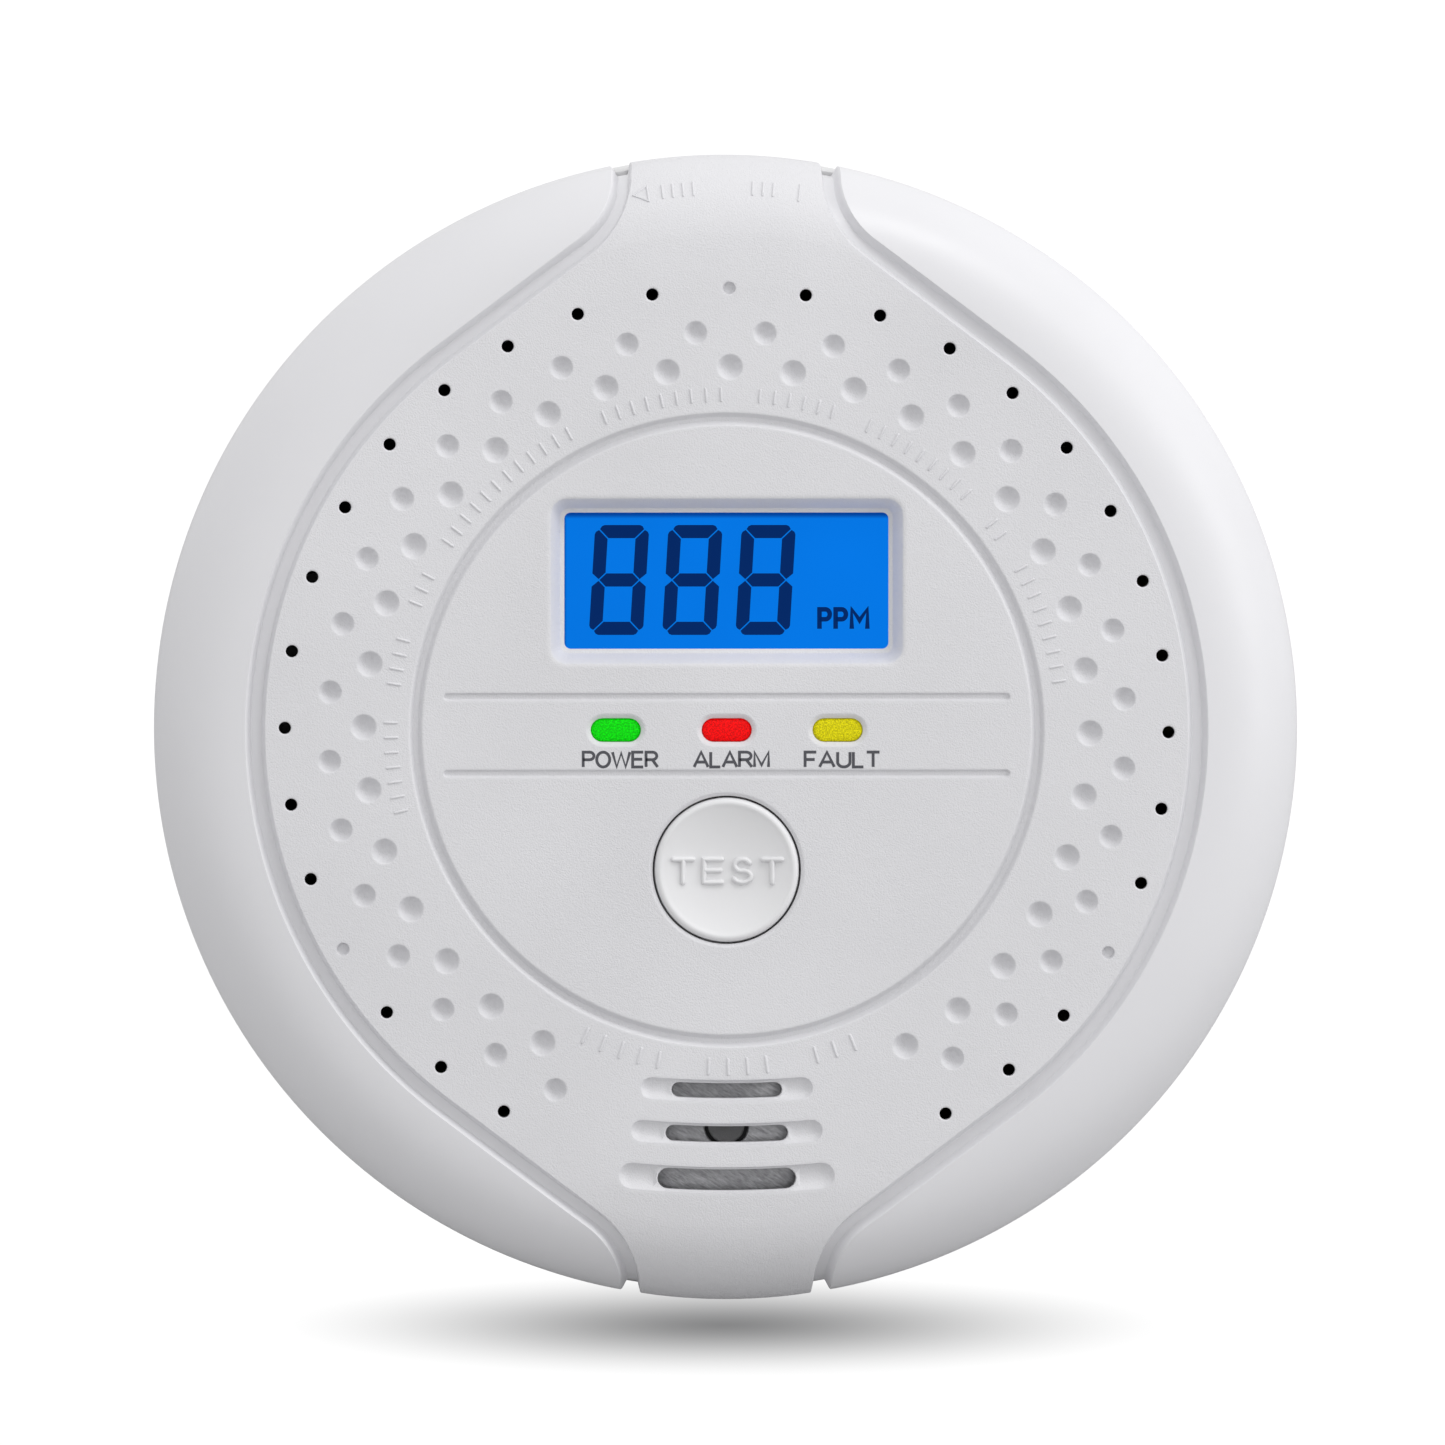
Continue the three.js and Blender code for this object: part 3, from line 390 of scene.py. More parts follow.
def add_grille_slot(sheet, y, slot, height, recess, recess_height):
    """A scooped recess with a narrower slot through its middle."""
    half = recess_height / 2
    whole = slot_line(recess, recess_height, y)
    lip = ((1.32, 0), (1.2, 0), (1.03, -0.02), (0.95, scoop_push(0.95)))
    sheet.lines(lambda share: band(whole, half * share), lip)
    for side in (-1, 1):
        begin, finish = slot / 2 + 0.35, recess / 2 - half
        x = np.linspace(begin, finish, 6)
        rise = x * x / (2 * GRILLE_BEND_R)
        for share in (0.74, 0.45, 0.2):
            turn = np.linspace(math.pi / 2, -math.pi / 2, 9)[1:-1]
            cap_x = finish + half * share * np.cos(turn)
            cap_y = rise[-1] + half * share * np.sin(turn)
            run_x = np.concatenate([x, cap_x, x[::-1]])
            run_y = np.concatenate([rise + half * share, cap_y, rise[::-1] - half * share])
            sheet.line(np.column_stack([side * run_x, y + run_y]), scoop_push(share), closed=False)
    at = lambda g: band(slot_line(slot, height, y), height / 2 + g)
    edge = (height / 2) / half
    sheet.lines(at, ((0.1, scoop_push(edge) + 0.03), (0.04, scoop_push(edge) + 0.01)))
    rim = at(0)
    return rim, sheet.line(rim, scoop_push(edge) - 0.08)


def cover_layout():
    """Lays out the whole front but the wing grooves: returns the sheet and its holes."""
    sheet, holes = Sheet(), []
    for angle in range(-150, 151, HOLE_STEP):
        x, y = polar(PINHOLE_RING, angle + PINHOLE_TURN)
        if angle in BOSS_ANGLES:
            sheet.lines(lambda share: circle(x, y, PINHOLE_R * share, 14), BLIND_LEVELS)
        else:
            at = lambda g, x=x, y=y: circle(x, y, PINHOLE_R + g, 14)
            holes.append(add_hole(sheet, at, 0.07))
        add_dimple(sheet, polar(INNER_DIMPLE_RING, angle + DIMPLE_TURN), INNER_DIMPLE_R)
    for angle in range(-155, 146, HOLE_STEP):
        add_dimple(sheet, polar(OUTER_DIMPLE_RING, angle + DIMPLE_TURN), OUTER_DIMPLE_R)

    for share in GROOVE_SHARES:
        groove = circle(0, 0, DISC_GROOVE_R + share * DISC_GROOVE_HALF, 200)
        sheet.line(groove, groove_push(abs(share), 0.3) * DISC_GROOVE_DEPTH)

    for line_y in LINE_Y:
        line = np.stack([np.linspace(-LINE_HALF, LINE_HALF, 60), np.full(60, line_y)], 1)
        sheet.lines(lambda half: band(line, half, 6), LINE_LEVELS)

    glass = middle("lcd_glass")
    frame_levels = (
        (0.4, 0.0, 1.7), (0.25, 0.0, 1.62), (0.0, -0.03, 1.5), (-0.12, -0.12, 1.4),
        (-0.95, -BEVEL_DEPTH + 0.08, 0.75), (-1.1, -BEVEL_DEPTH, 0.65),
    )
    for grow, push, corner in frame_levels:
        w, h = BEVEL_SIZE[0] + 2 * grow, BEVEL_SIZE[1] + 2 * grow
        sheet.line(rounded_box(0, glass[1], w, h, corner), push)
    rim = rounded_box(0, glass[1], *WINDOW_SIZE, 0.55)
    holes.append((rim, sheet.line(rim, -BEVEL_DEPTH - 0.06)))

    for i in (-1, 0, 1):
        at = lambda g, x=i * LENS_PITCH: obround(x, 0, LENS_HOLE[0] + 2 * g, LENS_HOLE[1] + 2 * g)
        holes.append(add_hole(sheet, at, 0.36))

    button = middle("test_button")
    at = lambda g: circle(0, button[1], BUTTON_HOLE_R + g, 96)
    holes.append(add_hole(sheet, at, 0.26))

    for grille_slot in GRILLE:
        holes.append(add_grille_slot(sheet, *grille_slot))
    return sheet, holes


def sheet_rings(sheet, radii, avoid, clearance):
    """Scatters rings of points, leaving out those close to any of the avoided lines."""
    for u in radii:
        points = circle(0, 0, u, RING_SEGMENTS)
        for line in avoid:
            gap = np.linalg.norm(points[:, None] - line[None], axis=2).min(axis=1)
            points = points[gap > clearance]
        sheet.scatter(points)


def stitch(loop_a, loop_b):
    """Quads that join two closed loops of the same length."""
    n = len(loop_a)
    return [
        (loop_a[i], loop_a[(i + 1) % n], loop_b[(i + 1) % n], loop_b[i]) for i in range(n)
    ]


# ---- mesh objects


def new_object(name, data):
    obj = bpy.data.objects.new(name, data)
    bpy.context.scene.collection.objects.link(obj)
    return obj


def join(*parts):
    """One list of points and faces from several closed meshes."""
    points, faces, start = [], [], 0
    for part_points, part_faces in parts:
        points.append(np.asarray(part_points, float))
        faces += [tuple(i + start for i in f) for f in part_faces]
        start += len(part_points)
    return np.concatenate(points), faces


def lathe(profile, centre=(0.0, 0.0), sides=96):
    """A closed body of revolution from (radius, depth) pairs that start and end on the axis."""
    points, faces, rings = [], [], []
    for r, d in profile:
        if r < 1e-6:
            rings.append([len(points)])
            points.append((centre[0], centre[1], d))
        else:
            rings.append(list(range(len(points), len(points) + sides)))
            a = np.arange(sides) * TAU / sides
            points += [(centre[0] + r * math.cos(t), centre[1] + r * math.sin(t), d) for t in a]
    closed = profile[0] == profile[-1] and profile[0][0] > 0
    if closed:
        points = points[: -sides]
        rings[-1] = rings[0]
    for low, high in zip(rings, rings[1:]):
        if len(low) == 1:
            faces += [(low[0], high[(i + 1) % sides], high[i]) for i in range(sides)]
        elif len(high) == 1:
            faces += [(low[i], low[(i + 1) % sides], high[0]) for i in range(sides)]
        else:
            faces += stitch(low, high)
    return points, faces


def tube(rings):
    """A closed body from rings of equal length, capped at both ends."""
    n = len(rings[0])
    faces = [tuple(range(n)), tuple(reversed(range((len(rings) - 1) * n, len(rings) * n)))]
    for k in range(len(rings) - 1):
        faces += stitch(range(k * n, (k + 1) * n), range((k + 1) * n, (k + 2) * n))
    return np.concatenate(rings), faces


def stack(levels):
    """A closed body from flat outlines of equal length, each at its own depth."""
    return tube([np.column_stack([o, np.full(len(o), float(d))]) for o, d in levels])


class Shell:
    """A closed mesh grown from flat sheets with holes and the walls that join them."""

    def __init__(self):
        self.points, self.faces, self.count = [], [], 0

    def add(self, outline, depth):
        start = self.count
        self.points.append(np.column_stack([outline, np.broadcast_to(depth, len(outline))]))
        self.count += len(outline)
        return start

    def sheet(self, depth, outer, holes=(), extra=()):
        """Adds a flat area at a depth; returns its outer loop and its hole loops."""
        flat = Sheet()
        loops = [flat.line(*outline) for outline in (outer, *holes)]
        for outline in extra:
            flat.line(*outline)
        points, push, faces = flat.triangles([outline[0] for outline in holes])
        start = self.add(points, depth + push)
        self.faces += [tuple(start + i for i in f) for f in faces]
        return [[start + i for i in loop] for loop in loops]

    def climb(self, loop, *levels):
        """Raises walls from a loop through more outlines of the same length."""
        for outline, depth in levels:
            start = self.add(outline, depth)
            raised = list(range(start, start + len(outline)))
            self.faces += stitch(loop, raised)
            loop = raised
        return loop

    def close(self, first, second):
        self.faces += stitch(first, second)

    def shape(self):
        return np.concatenate(self.points), self.faces


def ribbon(line, width, low, high, closed=False):
    """A flat stroke with square ends and mitred corners, from one depth to another."""
    line = np.asarray(line, float)
    if closed:
        before, after = np.roll(line, 1, axis=0), np.roll(line, -1, axis=0)
    else:
        before = np.vstack([2 * line[0] - line[1], line[:-1]])
        after = np.vstack([line[1:], 2 * line[-1] - line[-2]])
    first, second = left_of(line - before), left_of(after - line)
    mitre = first + second
    mitre /= np.linalg.norm(mitre, axis=1)[:, None]
    reach = width / 2 / np.maximum((mitre * first).sum(axis=1), SHARPEST_MITRE)
    left, right = line + mitre * reach[:, None], line - mitre * reach[:, None]
    n = len(line)
    rows = ((left, high), (right, high), (right, low), (left, low))
    points = np.concatenate([np.column_stack([p, np.full(n, float(d))]) for p, d in rows])
    faces = []
    for i in range(n if closed else n - 1):
        j = (i + 1) % n
        faces += [(k * n + i, k * n + j, (k + 1) % 4 * n + j, (k + 1) % 4 * n + i) for k in range(4)]
    if not closed:
        faces += [(0, n, 2 * n, 3 * n), (4 * n - 1, 3 * n - 1, 2 * n - 1, n - 1)]
    return points, faces


def ridge(line, width, height, surface, steps=6, sink=0.04):
    """A raised stroke with a rounded top that lies on a surface along a line of points."""
    line = np.asarray(line, float)
    along = np.gradient(line, axis=0)
    along /= np.maximum(np.linalg.norm(along, axis=1), 1e-9)[:, None]
    caps = np.array([0.98, 0.8, 0.45])
    half = width / 2
    head = [line[0] - along[0] * half * c for c in caps]
    tail = [line[-1] + along[-1] * half * c for c in caps[::-1]]
    thin = np.sqrt(1 - caps**2)
    centre = np.concatenate([head, line, tail])
    direction = np.concatenate([[along[0]] * 3, along, [along[-1]] * 3])
    scale = np.concatenate([thin, np.ones(len(line)), thin[::-1]])
    angles = np.linspace(0, math.pi, steps)
    rings = []
    for c, n, s in zip(centre, left_of(direction), scale):
        plane = [c + n * half * s * math.cos(a) for a in angles]
        rings.append(surface(np.array(plane), height * s * np.sin(angles) - sink))
    return tube(rings)


# ---- materials


def material(name):
    m = bpy.data.materials.new(name)
    m.use_nodes = True
    tree = m.node_tree
    shader = tree.nodes["Principled BSDF"]
    return m, tree, shader


def feed(tree, node, inputs):
    """Sets or links a node's inputs."""
    for key, value in inputs.items():
        if isinstance(value, bpy.types.NodeSocket):
            tree.links.new(value, node.inputs[key])
        else:
            node.inputs[key].default_value = value


def add_node(tree, kind, inputs=(), **settings):
    node = tree.nodes.new(kind)
    for key, value in settings.items():
        setattr(node, key, value)
    feed(tree, node, dict(inputs))
    return node


def position(tree):
    return add_node(tree, "ShaderNodeTexCoord").outputs["Object"]


def noise(tree, scale, detail=2.0, roughness=0.5, where=None):
    """Noise over the object; scale is in cells per metre."""
    node = add_node(
        tree, "ShaderNodeTexNoise",
        {"Vector": where or position(tree), "Scale": scale, "Detail": detail, "Roughness": roughness},
    )
    return node.outputs["Fac"]


def spread(tree, value, low, high, start=0.3, end=0.7):
    """Maps a noise value onto a range."""
    node = add_node(
        tree, "ShaderNodeMapRange",
        {"Value": value, "From Min": start, "From Max": end, "To Min": low, "To Max": high},
    )
    return node.outputs["Result"]


def two_tone(tree, factor, first, second):
    """Mixes two colours, each a colour or the output of another mix."""
    first, second = [(*tone, 1) if isinstance(tone, tuple) else tone for tone in (first, second)]
    node = add_node(tree, "ShaderNodeMix", {0: factor, 6: first, 7: second}, data_type="RGBA")
    return node.outputs[2]


def patchy(tree, low, high, scale, detail=2.0):
    """A value that drifts between two levels over the object."""
    return spread(tree, noise(tree, scale, detail), low, high)


def cloudy(tree, colour, dark, light, scale, detail=2.0):
    """A colour that drifts between a darker and a lighter shade over the object."""
    return two_tone(tree, patchy(tree, 0, 1, scale, detail), shade(colour, dark), shade(colour, light))


def bump(tree, shader, layers):
    """Stacks bumps: each layer is a height, its distance in metres and its strength."""
    normal = None
    for height, distance, strength in layers:
        node = add_node(
            tree, "ShaderNodeBump", {"Height": height, "Distance": distance, "Strength": strength}
        )
        if normal is not None:
            tree.links.new(normal, node.inputs["Normal"])
        normal = node.outputs["Normal"]
    tree.links.new(normal, shader.inputs["Normal"])


def shade(colour, factor):
    return tuple(min(1.0, c * factor) for c in colour)


def moulded(name, colour, grain, grain_size=0.14, roughness=(0.42, 0.55), mottle=0.03):
    """Moulded plastic: cloudy tone, fine grain, uneven gloss."""
    m, tree, shader = material(name)
    feed(tree, shader, {
        "Base Color": cloudy(tree, colour, 1 - mottle, 1 + mottle, 45, 3),
        "Roughness": patchy(tree, *roughness, 160, 4),
        "Specular IOR Level": 0.45,
    })
    fine = noise(tree, 1 / (grain_size * MM), 2, 0.6)
    bump(tree, shader, [(noise(tree, 260, 2), 0.00004, 0.12), (fine, 0.00006, grain)])
    return m


def brushed(name, colour, roughness, scale, stretch, strength, turn=0.0):
    """Worked metal: fine scratches along one direction, with a cloudy tone."""
    m, tree, shader = material(name)
    turned = add_node(
        tree, "ShaderNodeVectorRotate", {"Vector": position(tree), "Angle": turn}, rotation_type="Y_AXIS"
    )
    mapping = add_node(tree, "ShaderNodeMapping", {"Vector": turned.outputs[0], "Scale": stretch})
    lines = noise(tree, scale, 4, 0.65, mapping.outputs["Vector"])
    feed(tree, shader, {
        "Base Color": two_tone(tree, spread(tree, lines, 0, 1), shade(colour, 0.62), shade(colour, 1.3)),
        "Roughness": patchy(tree, *roughness, 250, 3),
        "Metallic": 1.0,
    })
    bump(tree, shader, [(lines, 0.00003, strength)])
    return m


def tinted(name, colour, glow):
    """A tinted lens with a sparkling pressed pattern, lit from behind."""
    m, tree, shader = material(name)
    sparkle = noise(tree, 7200, 3, 0.7)
    tone = two_tone(tree, spread(tree, sparkle, 0, 1, 0.4, 0.62), shade(colour, 0.5), shade(colour, 1.06))
    feed(tree, shader, {
        "Base Color": tone, "Emission Color": tone, "Emission Strength": glow,
        "Specular IOR Level": 0.12, "Roughness": patchy(tree, 0.25, 0.4, 2200),
    })
    bump(tree, shader, [(sparkle, 0.00006, 0.35)])
    return m


def glowing(name, colour, strength):
    """A lit surface with a soft unevenness."""
    m, tree, shader = material(name)
    feed(tree, shader, {
        "Base Color": (*shade(colour, 0.1), 1), "Specular IOR Level": 0.03,
        "Roughness": patchy(tree, 0.34, 0.46, 400, 3),
        "Emission Color": cloudy(tree, colour, 0.96, 1.03, 90), "Emission Strength": strength,
    })
    bump(tree, shader, [(noise(tree, 3000, 2), 0.00001, 0.1)])
    return m


# Where each shadow on the display fades, in from the window's edge.
TOP_SHADOW, LEFT_SHADOW = (0.55, 0.2), (0.0, 0.2)


def display_blue():
    """Backlit display glass: blue glow with the shadow of the window's upper edge on it."""
    m, tree, shader = material("display_blue")
    axes = add_node(tree, "ShaderNodeSeparateXYZ", {"Vector": position(tree)})
    top = middle("lcd_glass")[1] + WINDOW_SIZE[1] / 2
    up = spread(tree, axes.outputs["Z"], 0, 1, *[(top - d) * MM for d in TOP_SHADOW])
    left = spread(tree, axes.outputs["X"], 1, 0, *[(d - WINDOW_SIZE[0] / 2) * MM for d in LEFT_SHADOW])
    edge = add_node(tree, "ShaderNodeMath", {0: up, 1: left}, operation="MAXIMUM")
    blue = cloudy(tree, DISPLAY_BLUE, 0.96, 1.04, 60)
    feed(tree, shader, {
        "Base Color": (0.0, 0.01, 0.05, 1), "Specular IOR Level": 0.03,
        "Roughness": patchy(tree, 0.3, 0.4, 500, 3), "Emission Strength": 0.93,
        "Emission Color": two_tone(tree, edge.outputs[0], blue, DISPLAY_SHADOW),
    })
    return m


def circuit_board():
    """Green solder mask over a faint net of copper tracks."""
    m, tree, shader = material("board_green_mask")
    tracks = add_node(
        tree, "ShaderNodeTexBrick",
        {"Vector": position(tree), "Scale": 260.0, "Mortar Size": 0.03, "Brick Width": 0.9},
    )
    mask = two_tone(tree, patchy(tree, 0, 1, 120, 3), (0.012, 0.11, 0.04), (0.02, 0.15, 0.055))
    feed(tree, shader, {
        "Base Color": two_tone(tree, tracks.outputs["Fac"], mask, (0.035, 0.24, 0.09)),
        "Roughness": patchy(tree, 0.25, 0.42, 700, 3),
    })
    bump(tree, shader, [(tracks.outputs["Fac"], 0.00003, 0.5)])
    return m


# Along a cell: where its band starts, and how far its bare ends run in.
BAND_START, BARE_END = (11.8, 12.0), (1.3, 1.2)


def cell_jacket():
    """A battery's printed sleeve: dark body, coppery band toward the nub and bare steel ends."""
    m, tree, shader = material("cell_sleeve")
    axes = add_node(tree, "ShaderNodeSeparateXYZ", {"Vector": position(tree)})
    reach = wall_box("aa_cell_1")[1][0]
    along = add_node(tree, "ShaderNodeMath", {0: axes.outputs["X"]}, operation="ABSOLUTE").outputs[0]
    band_at = spread(tree, axes.outputs["X"], 0, 1, *[x * MM for x in BAND_START])
    end = spread(tree, along, 0, 1, *[(reach - d) * MM for d in BARE_END])
    body = two_tone(tree, patchy(tree, 0, 1, 300, 3), (0.012, 0.013, 0.016), (0.02, 0.022, 0.026))
    sleeve = two_tone(tree, band_at, body, (0.46, 0.2, 0.08))
    feed(tree, shader, {
        "Base Color": two_tone(tree, end, sleeve, (0.55, 0.55, 0.56)),
        "Metallic": spread(tree, end, 0.15, 1.0, 0, 1), "Roughness": patchy(tree, 0.22, 0.38, 500, 3),
    })
    bump(tree, shader, [(noise(tree, 900, 2), 0.00002, 0.2)])
    return m


PANEL_WHITE = (0.70, 0.698, 0.72)
WING_WHITE = (0.722, 0.72, 0.742)
DISPLAY_BLUE = (0.0, 0.186, 0.79)
DISPLAY_SHADOW = (0.0, 0.055, 0.33)
SEGMENT_BLUE = (0.0003, 0.021, 0.13)
LENS_TONES = {
    "green": (0.002, 0.72, 0.003), "red": (0.9, 0.002, 0.003), "yellow": (0.68, 0.62, 0.004),
}

panel_plastic = moulded("cover_panel_grained", PANEL_WHITE, grain=1.0, roughness=(0.5, 0.62))
wing_plastic = moulded("cover_wing_satin", WING_WHITE, grain=0.06, roughness=(0.34, 0.46), mottle=0.015)
button_plastic = moulded("button_satin", (0.76, 0.76, 0.772), grain=0.05, roughness=(0.3, 0.42))
housing_plastic = moulded("housing_matt", (0.7, 0.7, 0.705), grain=0.3, roughness=(0.5, 0.62))
plate_plastic = moulded("plate_matt", (0.68, 0.68, 0.685), grain=0.3, roughness=(0.48, 0.62))
ink = moulded("legend_ink", (0.075, 0.075, 0.088), grain=0.1, roughness=(0.55, 0.7), mottle=0.12)


# ---- front cover


def front_cover():
    """The cover's outer skin and its shape, with the faces on the wings marked for their finish."""
    outer = cover_skin()
    inner = outer.offset(COVER_WALL)
    sheet, holes = cover_layout()
    ends, wings = add_wing_grooves(sheet, outer)
    evenly = np.arange(RING_SEGMENTS) * 360 / RING_SEGMENTS
    clear = [a for a in evenly if min(abs((a - e + 180) % 360 - 180) for e in ends) > 0.5]
    sheet.scatter(np.array([polar(outer.end, a) for a in clear]))
    sheet_rings(sheet, np.arange(FLAT_R + 2.6, outer.end - 0.4, RING_STEP), wings, RING_CLEARANCE)
    points, push, faces = sheet.triangles([rim for rim, _ in holes])
    top = outer.lift(points, push)

    centre = points[faces].mean(axis=1)
    on_wing = np.zeros(len(faces), bool)
    for line, side in zip(wings, (-1, 1)):
        edge = offset_line(line, outer, side * WING_EDGE_SHARE * WING_GROOVE_HALF)
        far = np.array([polar(outer.end + 3, a) for a in np.linspace(10, 170, 60)])
        on_wing |= inside(centre, np.concatenate([edge, far * [side, 1]]))

    at_rim = np.flatnonzero(np.hypot(*points.T) > outer.end - 1e-4)
    angle = np.degrees(np.arctan2(*points[at_rim].T)) % 360
    order = np.argsort(angle)

    back = Sheet()
    hole_loops = [back.line(rim) for rim, _ in holes]
    back_rim = back.line(np.array([polar(inner.end, a) for a in angle[order]]))
    sheet_rings(back, np.arange(FLAT_R + 1.2, inner.end - 1.0, BACK_RING_STEP), [], 0)
    back_points, back_push, back_faces = back.triangles([rim for rim, _ in holes])

    n = len(top)
    all_points = np.concatenate([top, inner.lift(back_points, back_push)])
    all_faces = [tuple(f) for f in faces] + [tuple(n + i for i in reversed(f)) for f in back_faces]
    all_faces += stitch([n + i for i in back_rim], at_rim[order])
    for (_, loop), back_loop in zip(holes, hole_loops):
        all_faces += stitch(loop, [n + i for i in back_loop])
    boss = [(0, BOSS_BORE_END), (BOSS_BORE_R, BOSS_BORE_END), (BOSS_BORE_R, SEAM_D)]
    boss += [(BOSS_R, SEAM_D), (BOSS_R, BOSS_TOP), (0, BOSS_TOP)]
    bosses = [lathe(boss, polar(BOSS_RING, a), 32) for a in BOSS_ANGLES]
    points, faces = join((all_points, all_faces), *bosses)
    return outer, (points, faces, np.pad(on_wing, (0, len(faces) - len(on_wing))))


def add_piece(name, shape, materials, body, slot, *nodes):
    """Makes a smooth piece with crisp edges from points and faces, and gives it its place.

    The shape may have a third item: which of the materials each face takes.
    """
    points, faces, *kinds = shape
    mesh = bpy.data.meshes.new(name)
    mesh.from_pydata(place(points).tolist(), [], [tuple(int(i) for i in f) for f in faces])
    for look in materials:
        mesh.materials.append(look)
    for kind in kinds:
        mesh.polygons.foreach_set("material_index", np.asarray(kind, np.int32))
    shell = bmesh.new()
    shell.from_mesh(mesh)
    bmesh.ops.recalc_face_normals(shell, faces=shell.faces[:])
    shell.to_mesh(mesh)
    shell.free()
    mesh.shade_smooth()
    mesh.set_sharp_from_angle(angle=math.radians(CRISP_ANGLE))
    obj = new_object(name, mesh)
    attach(obj, body)
    if nodes:
        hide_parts(*nodes)


skin, cover = front_cover()
add_piece("front_cover_shell", cover, [panel_plastic, wing_plastic], "detector", "cover_white", "front_cover")


# ---- lettering and marks


def arc(x, y, rx, ry, start, end, steps=12):
    a = np.radians(np.linspace(start, end, steps))
    return list(zip(x + rx * np.cos(a), y + ry * np.sin(a)))


def glyphs():
    """Plain capital letters of height 1: each has a width and its strokes."""
    bowl = [(0.37, 1), *arc(0.37, 0.745, 0.26, 0.255, 90, -90)[1:-1], (0.37, 0.49), (0, 0.49)]
    stem = [(0, 0), (0, 1)]
    ring = arc(0.38, 0.5, 0.38, 0.5, 0, 345, 24)
    curl = [
        *arc(0.32, 0.745, 0.27, 0.255, 25, 200, 10), *arc(0.32, 0.755, 0.27, 0.27, 225, 255, 3),
        *arc(0.32, 0.245, 0.31, 0.27, 75, 45, 3), *arc(0.32, 0.265, 0.31, 0.265, 15, -155, 10),
    ]
    hook = [(0, 1), (0, 0.32), *arc(0.32, 0.32, 0.32, 0.32, 180, 360, 14)[1:-1], (0.64, 0.32), (0.64, 1)]
    return {
        "A": (0.76, [[(0, 0), (0.38, 1), (0.76, 0)], [(0.13, 0.33), (0.63, 0.33)]]),
        "E": (0.62, [[(0.62, 1), (0, 1), (0, 0), (0.62, 0)], [(0, 0.52), (0.56, 0.52)]]),
        "F": (0.58, [[(0.58, 1), (0, 1), (0, 0)], [(0, 0.5), (0.5, 0.5)]]),
        "L": (0.52, [[(0, 1), (0, 0), (0.52, 0)]]),
        "M": (0.76, [[(0, 0), (0, 1), (0.38, 0.12), (0.76, 1), (0.76, 0)]]),
        "O": (0.76, [ring]),
        "P": (0.63, [stem + bowl]),
        "p": (0.53, [[(0.84 * x, y) for x, y in stem + bowl]]),
        "m": (0.8, [[(0, 0), (0, 1), (0.4, 0.42), (0.8, 1), (0.8, 0)]]),
        "R": (0.68, [stem + bowl, [(0.37, 0.49), (0.68, 0)]]),
        "S": (0.63, [curl]),
        "T": (0.66, [[(0, 1), (0.66, 1)], [(0.33, 1), (0.33, 0)]]),
        "U": (0.64, [hook]),
        "W": (1.02, [[(0, 1), (0.25, 0), (0.51, 0.94), (0.77, 0), (1.02, 1)]]),
    }


def lettering(text, height, weight, centre, base, width, stretch=1.0):
    """Strokes of a word as (line, closed), spaced to a whole width."""
    letters = [glyphs()[c] for c in text]
    cap = np.array([(height - weight) * stretch, height - weight])
    gap = (width - weight - cap[0] * sum(w for w, _ in letters)) / (len(letters) - 1)
    x, strokes = centre - (width - weight) / 2, []
    for (w, lines), char in zip(letters, text):
        for line in lines:
            laid = np.array(line) * cap + (x, base + weight / 2)
            strokes.append((laid, char == "O"))
        x += w * cap[0] + gap
    return strokes


INK_SINK, INK_HEIGHT, INK_STEP = 0.01, 0.008, 0.0004


def printed(strokes, weight, depth):
    """Ink strokes on a flat face; each lies a hair above the one before it."""
    return join(*[
        ribbon(line, weight, depth - INK_SINK, depth + INK_HEIGHT + INK_STEP * k, closed)
        for k, (line, closed) in enumerate(strokes)
    ])


LEGENDS = (("POWER", 1.15), ("ALARM", 1.24), ("FAULT", 1.3))
LEGEND_SHIFT, LEGEND_BASE = 0.4, -3.34
LEGEND_HEIGHT, LEGEND_WIDTH, LEGEND_WEIGHT = 1.55, 6.75, 0.255

legend_strokes = []
for index, (word, stretch) in enumerate(LEGENDS):
    legend_strokes += lettering(
        word, LEGEND_HEIGHT, LEGEND_WEIGHT, (index - 1) * LENS_PITCH + LEGEND_SHIFT, LEGEND_BASE,
        LEGEND_WIDTH, stretch,
    )
legends = printed(legend_strokes, LEGEND_WEIGHT, PANEL_D)
add_piece("lamp_legends", legends, [ink], "detector", "cover_white")


TICK_RINGS = (
    # radius, first angle, step, ticks in each group, length, width
    (29.3, -104.0, 2.55, (7, 4, 3, 12, 9, 6, 9, 2, 9), 1.05, 0.24),
    (29.4, 158.0, 3.3, (3, 4, 5), 1.3, 0.28),
)
TICK_GAP = 1.6
EDGE_R = 47.3
EDGE_MARKS = (
    # line along the top edge (across, up) and its width: arrow head, shaft, ticks, stop bar
    (((-6.9, 0.85), (-8.2, 0), (-6.9, -0.85)), 0.2),
    (((-6.9, -0.85), (-6.9, 0), (-6.9, 0.85)), 0.2),
    *[(((x, -0.7), (x, 0), (x, 0.7)), 0.24) for x in (-5.6, -4.7, -3.8, -2.9, 2.3, 3.2, 4.1)],
    (((6.4, -0.9), (6.4, 0), (6.4, 0.9)), 0.24),
)


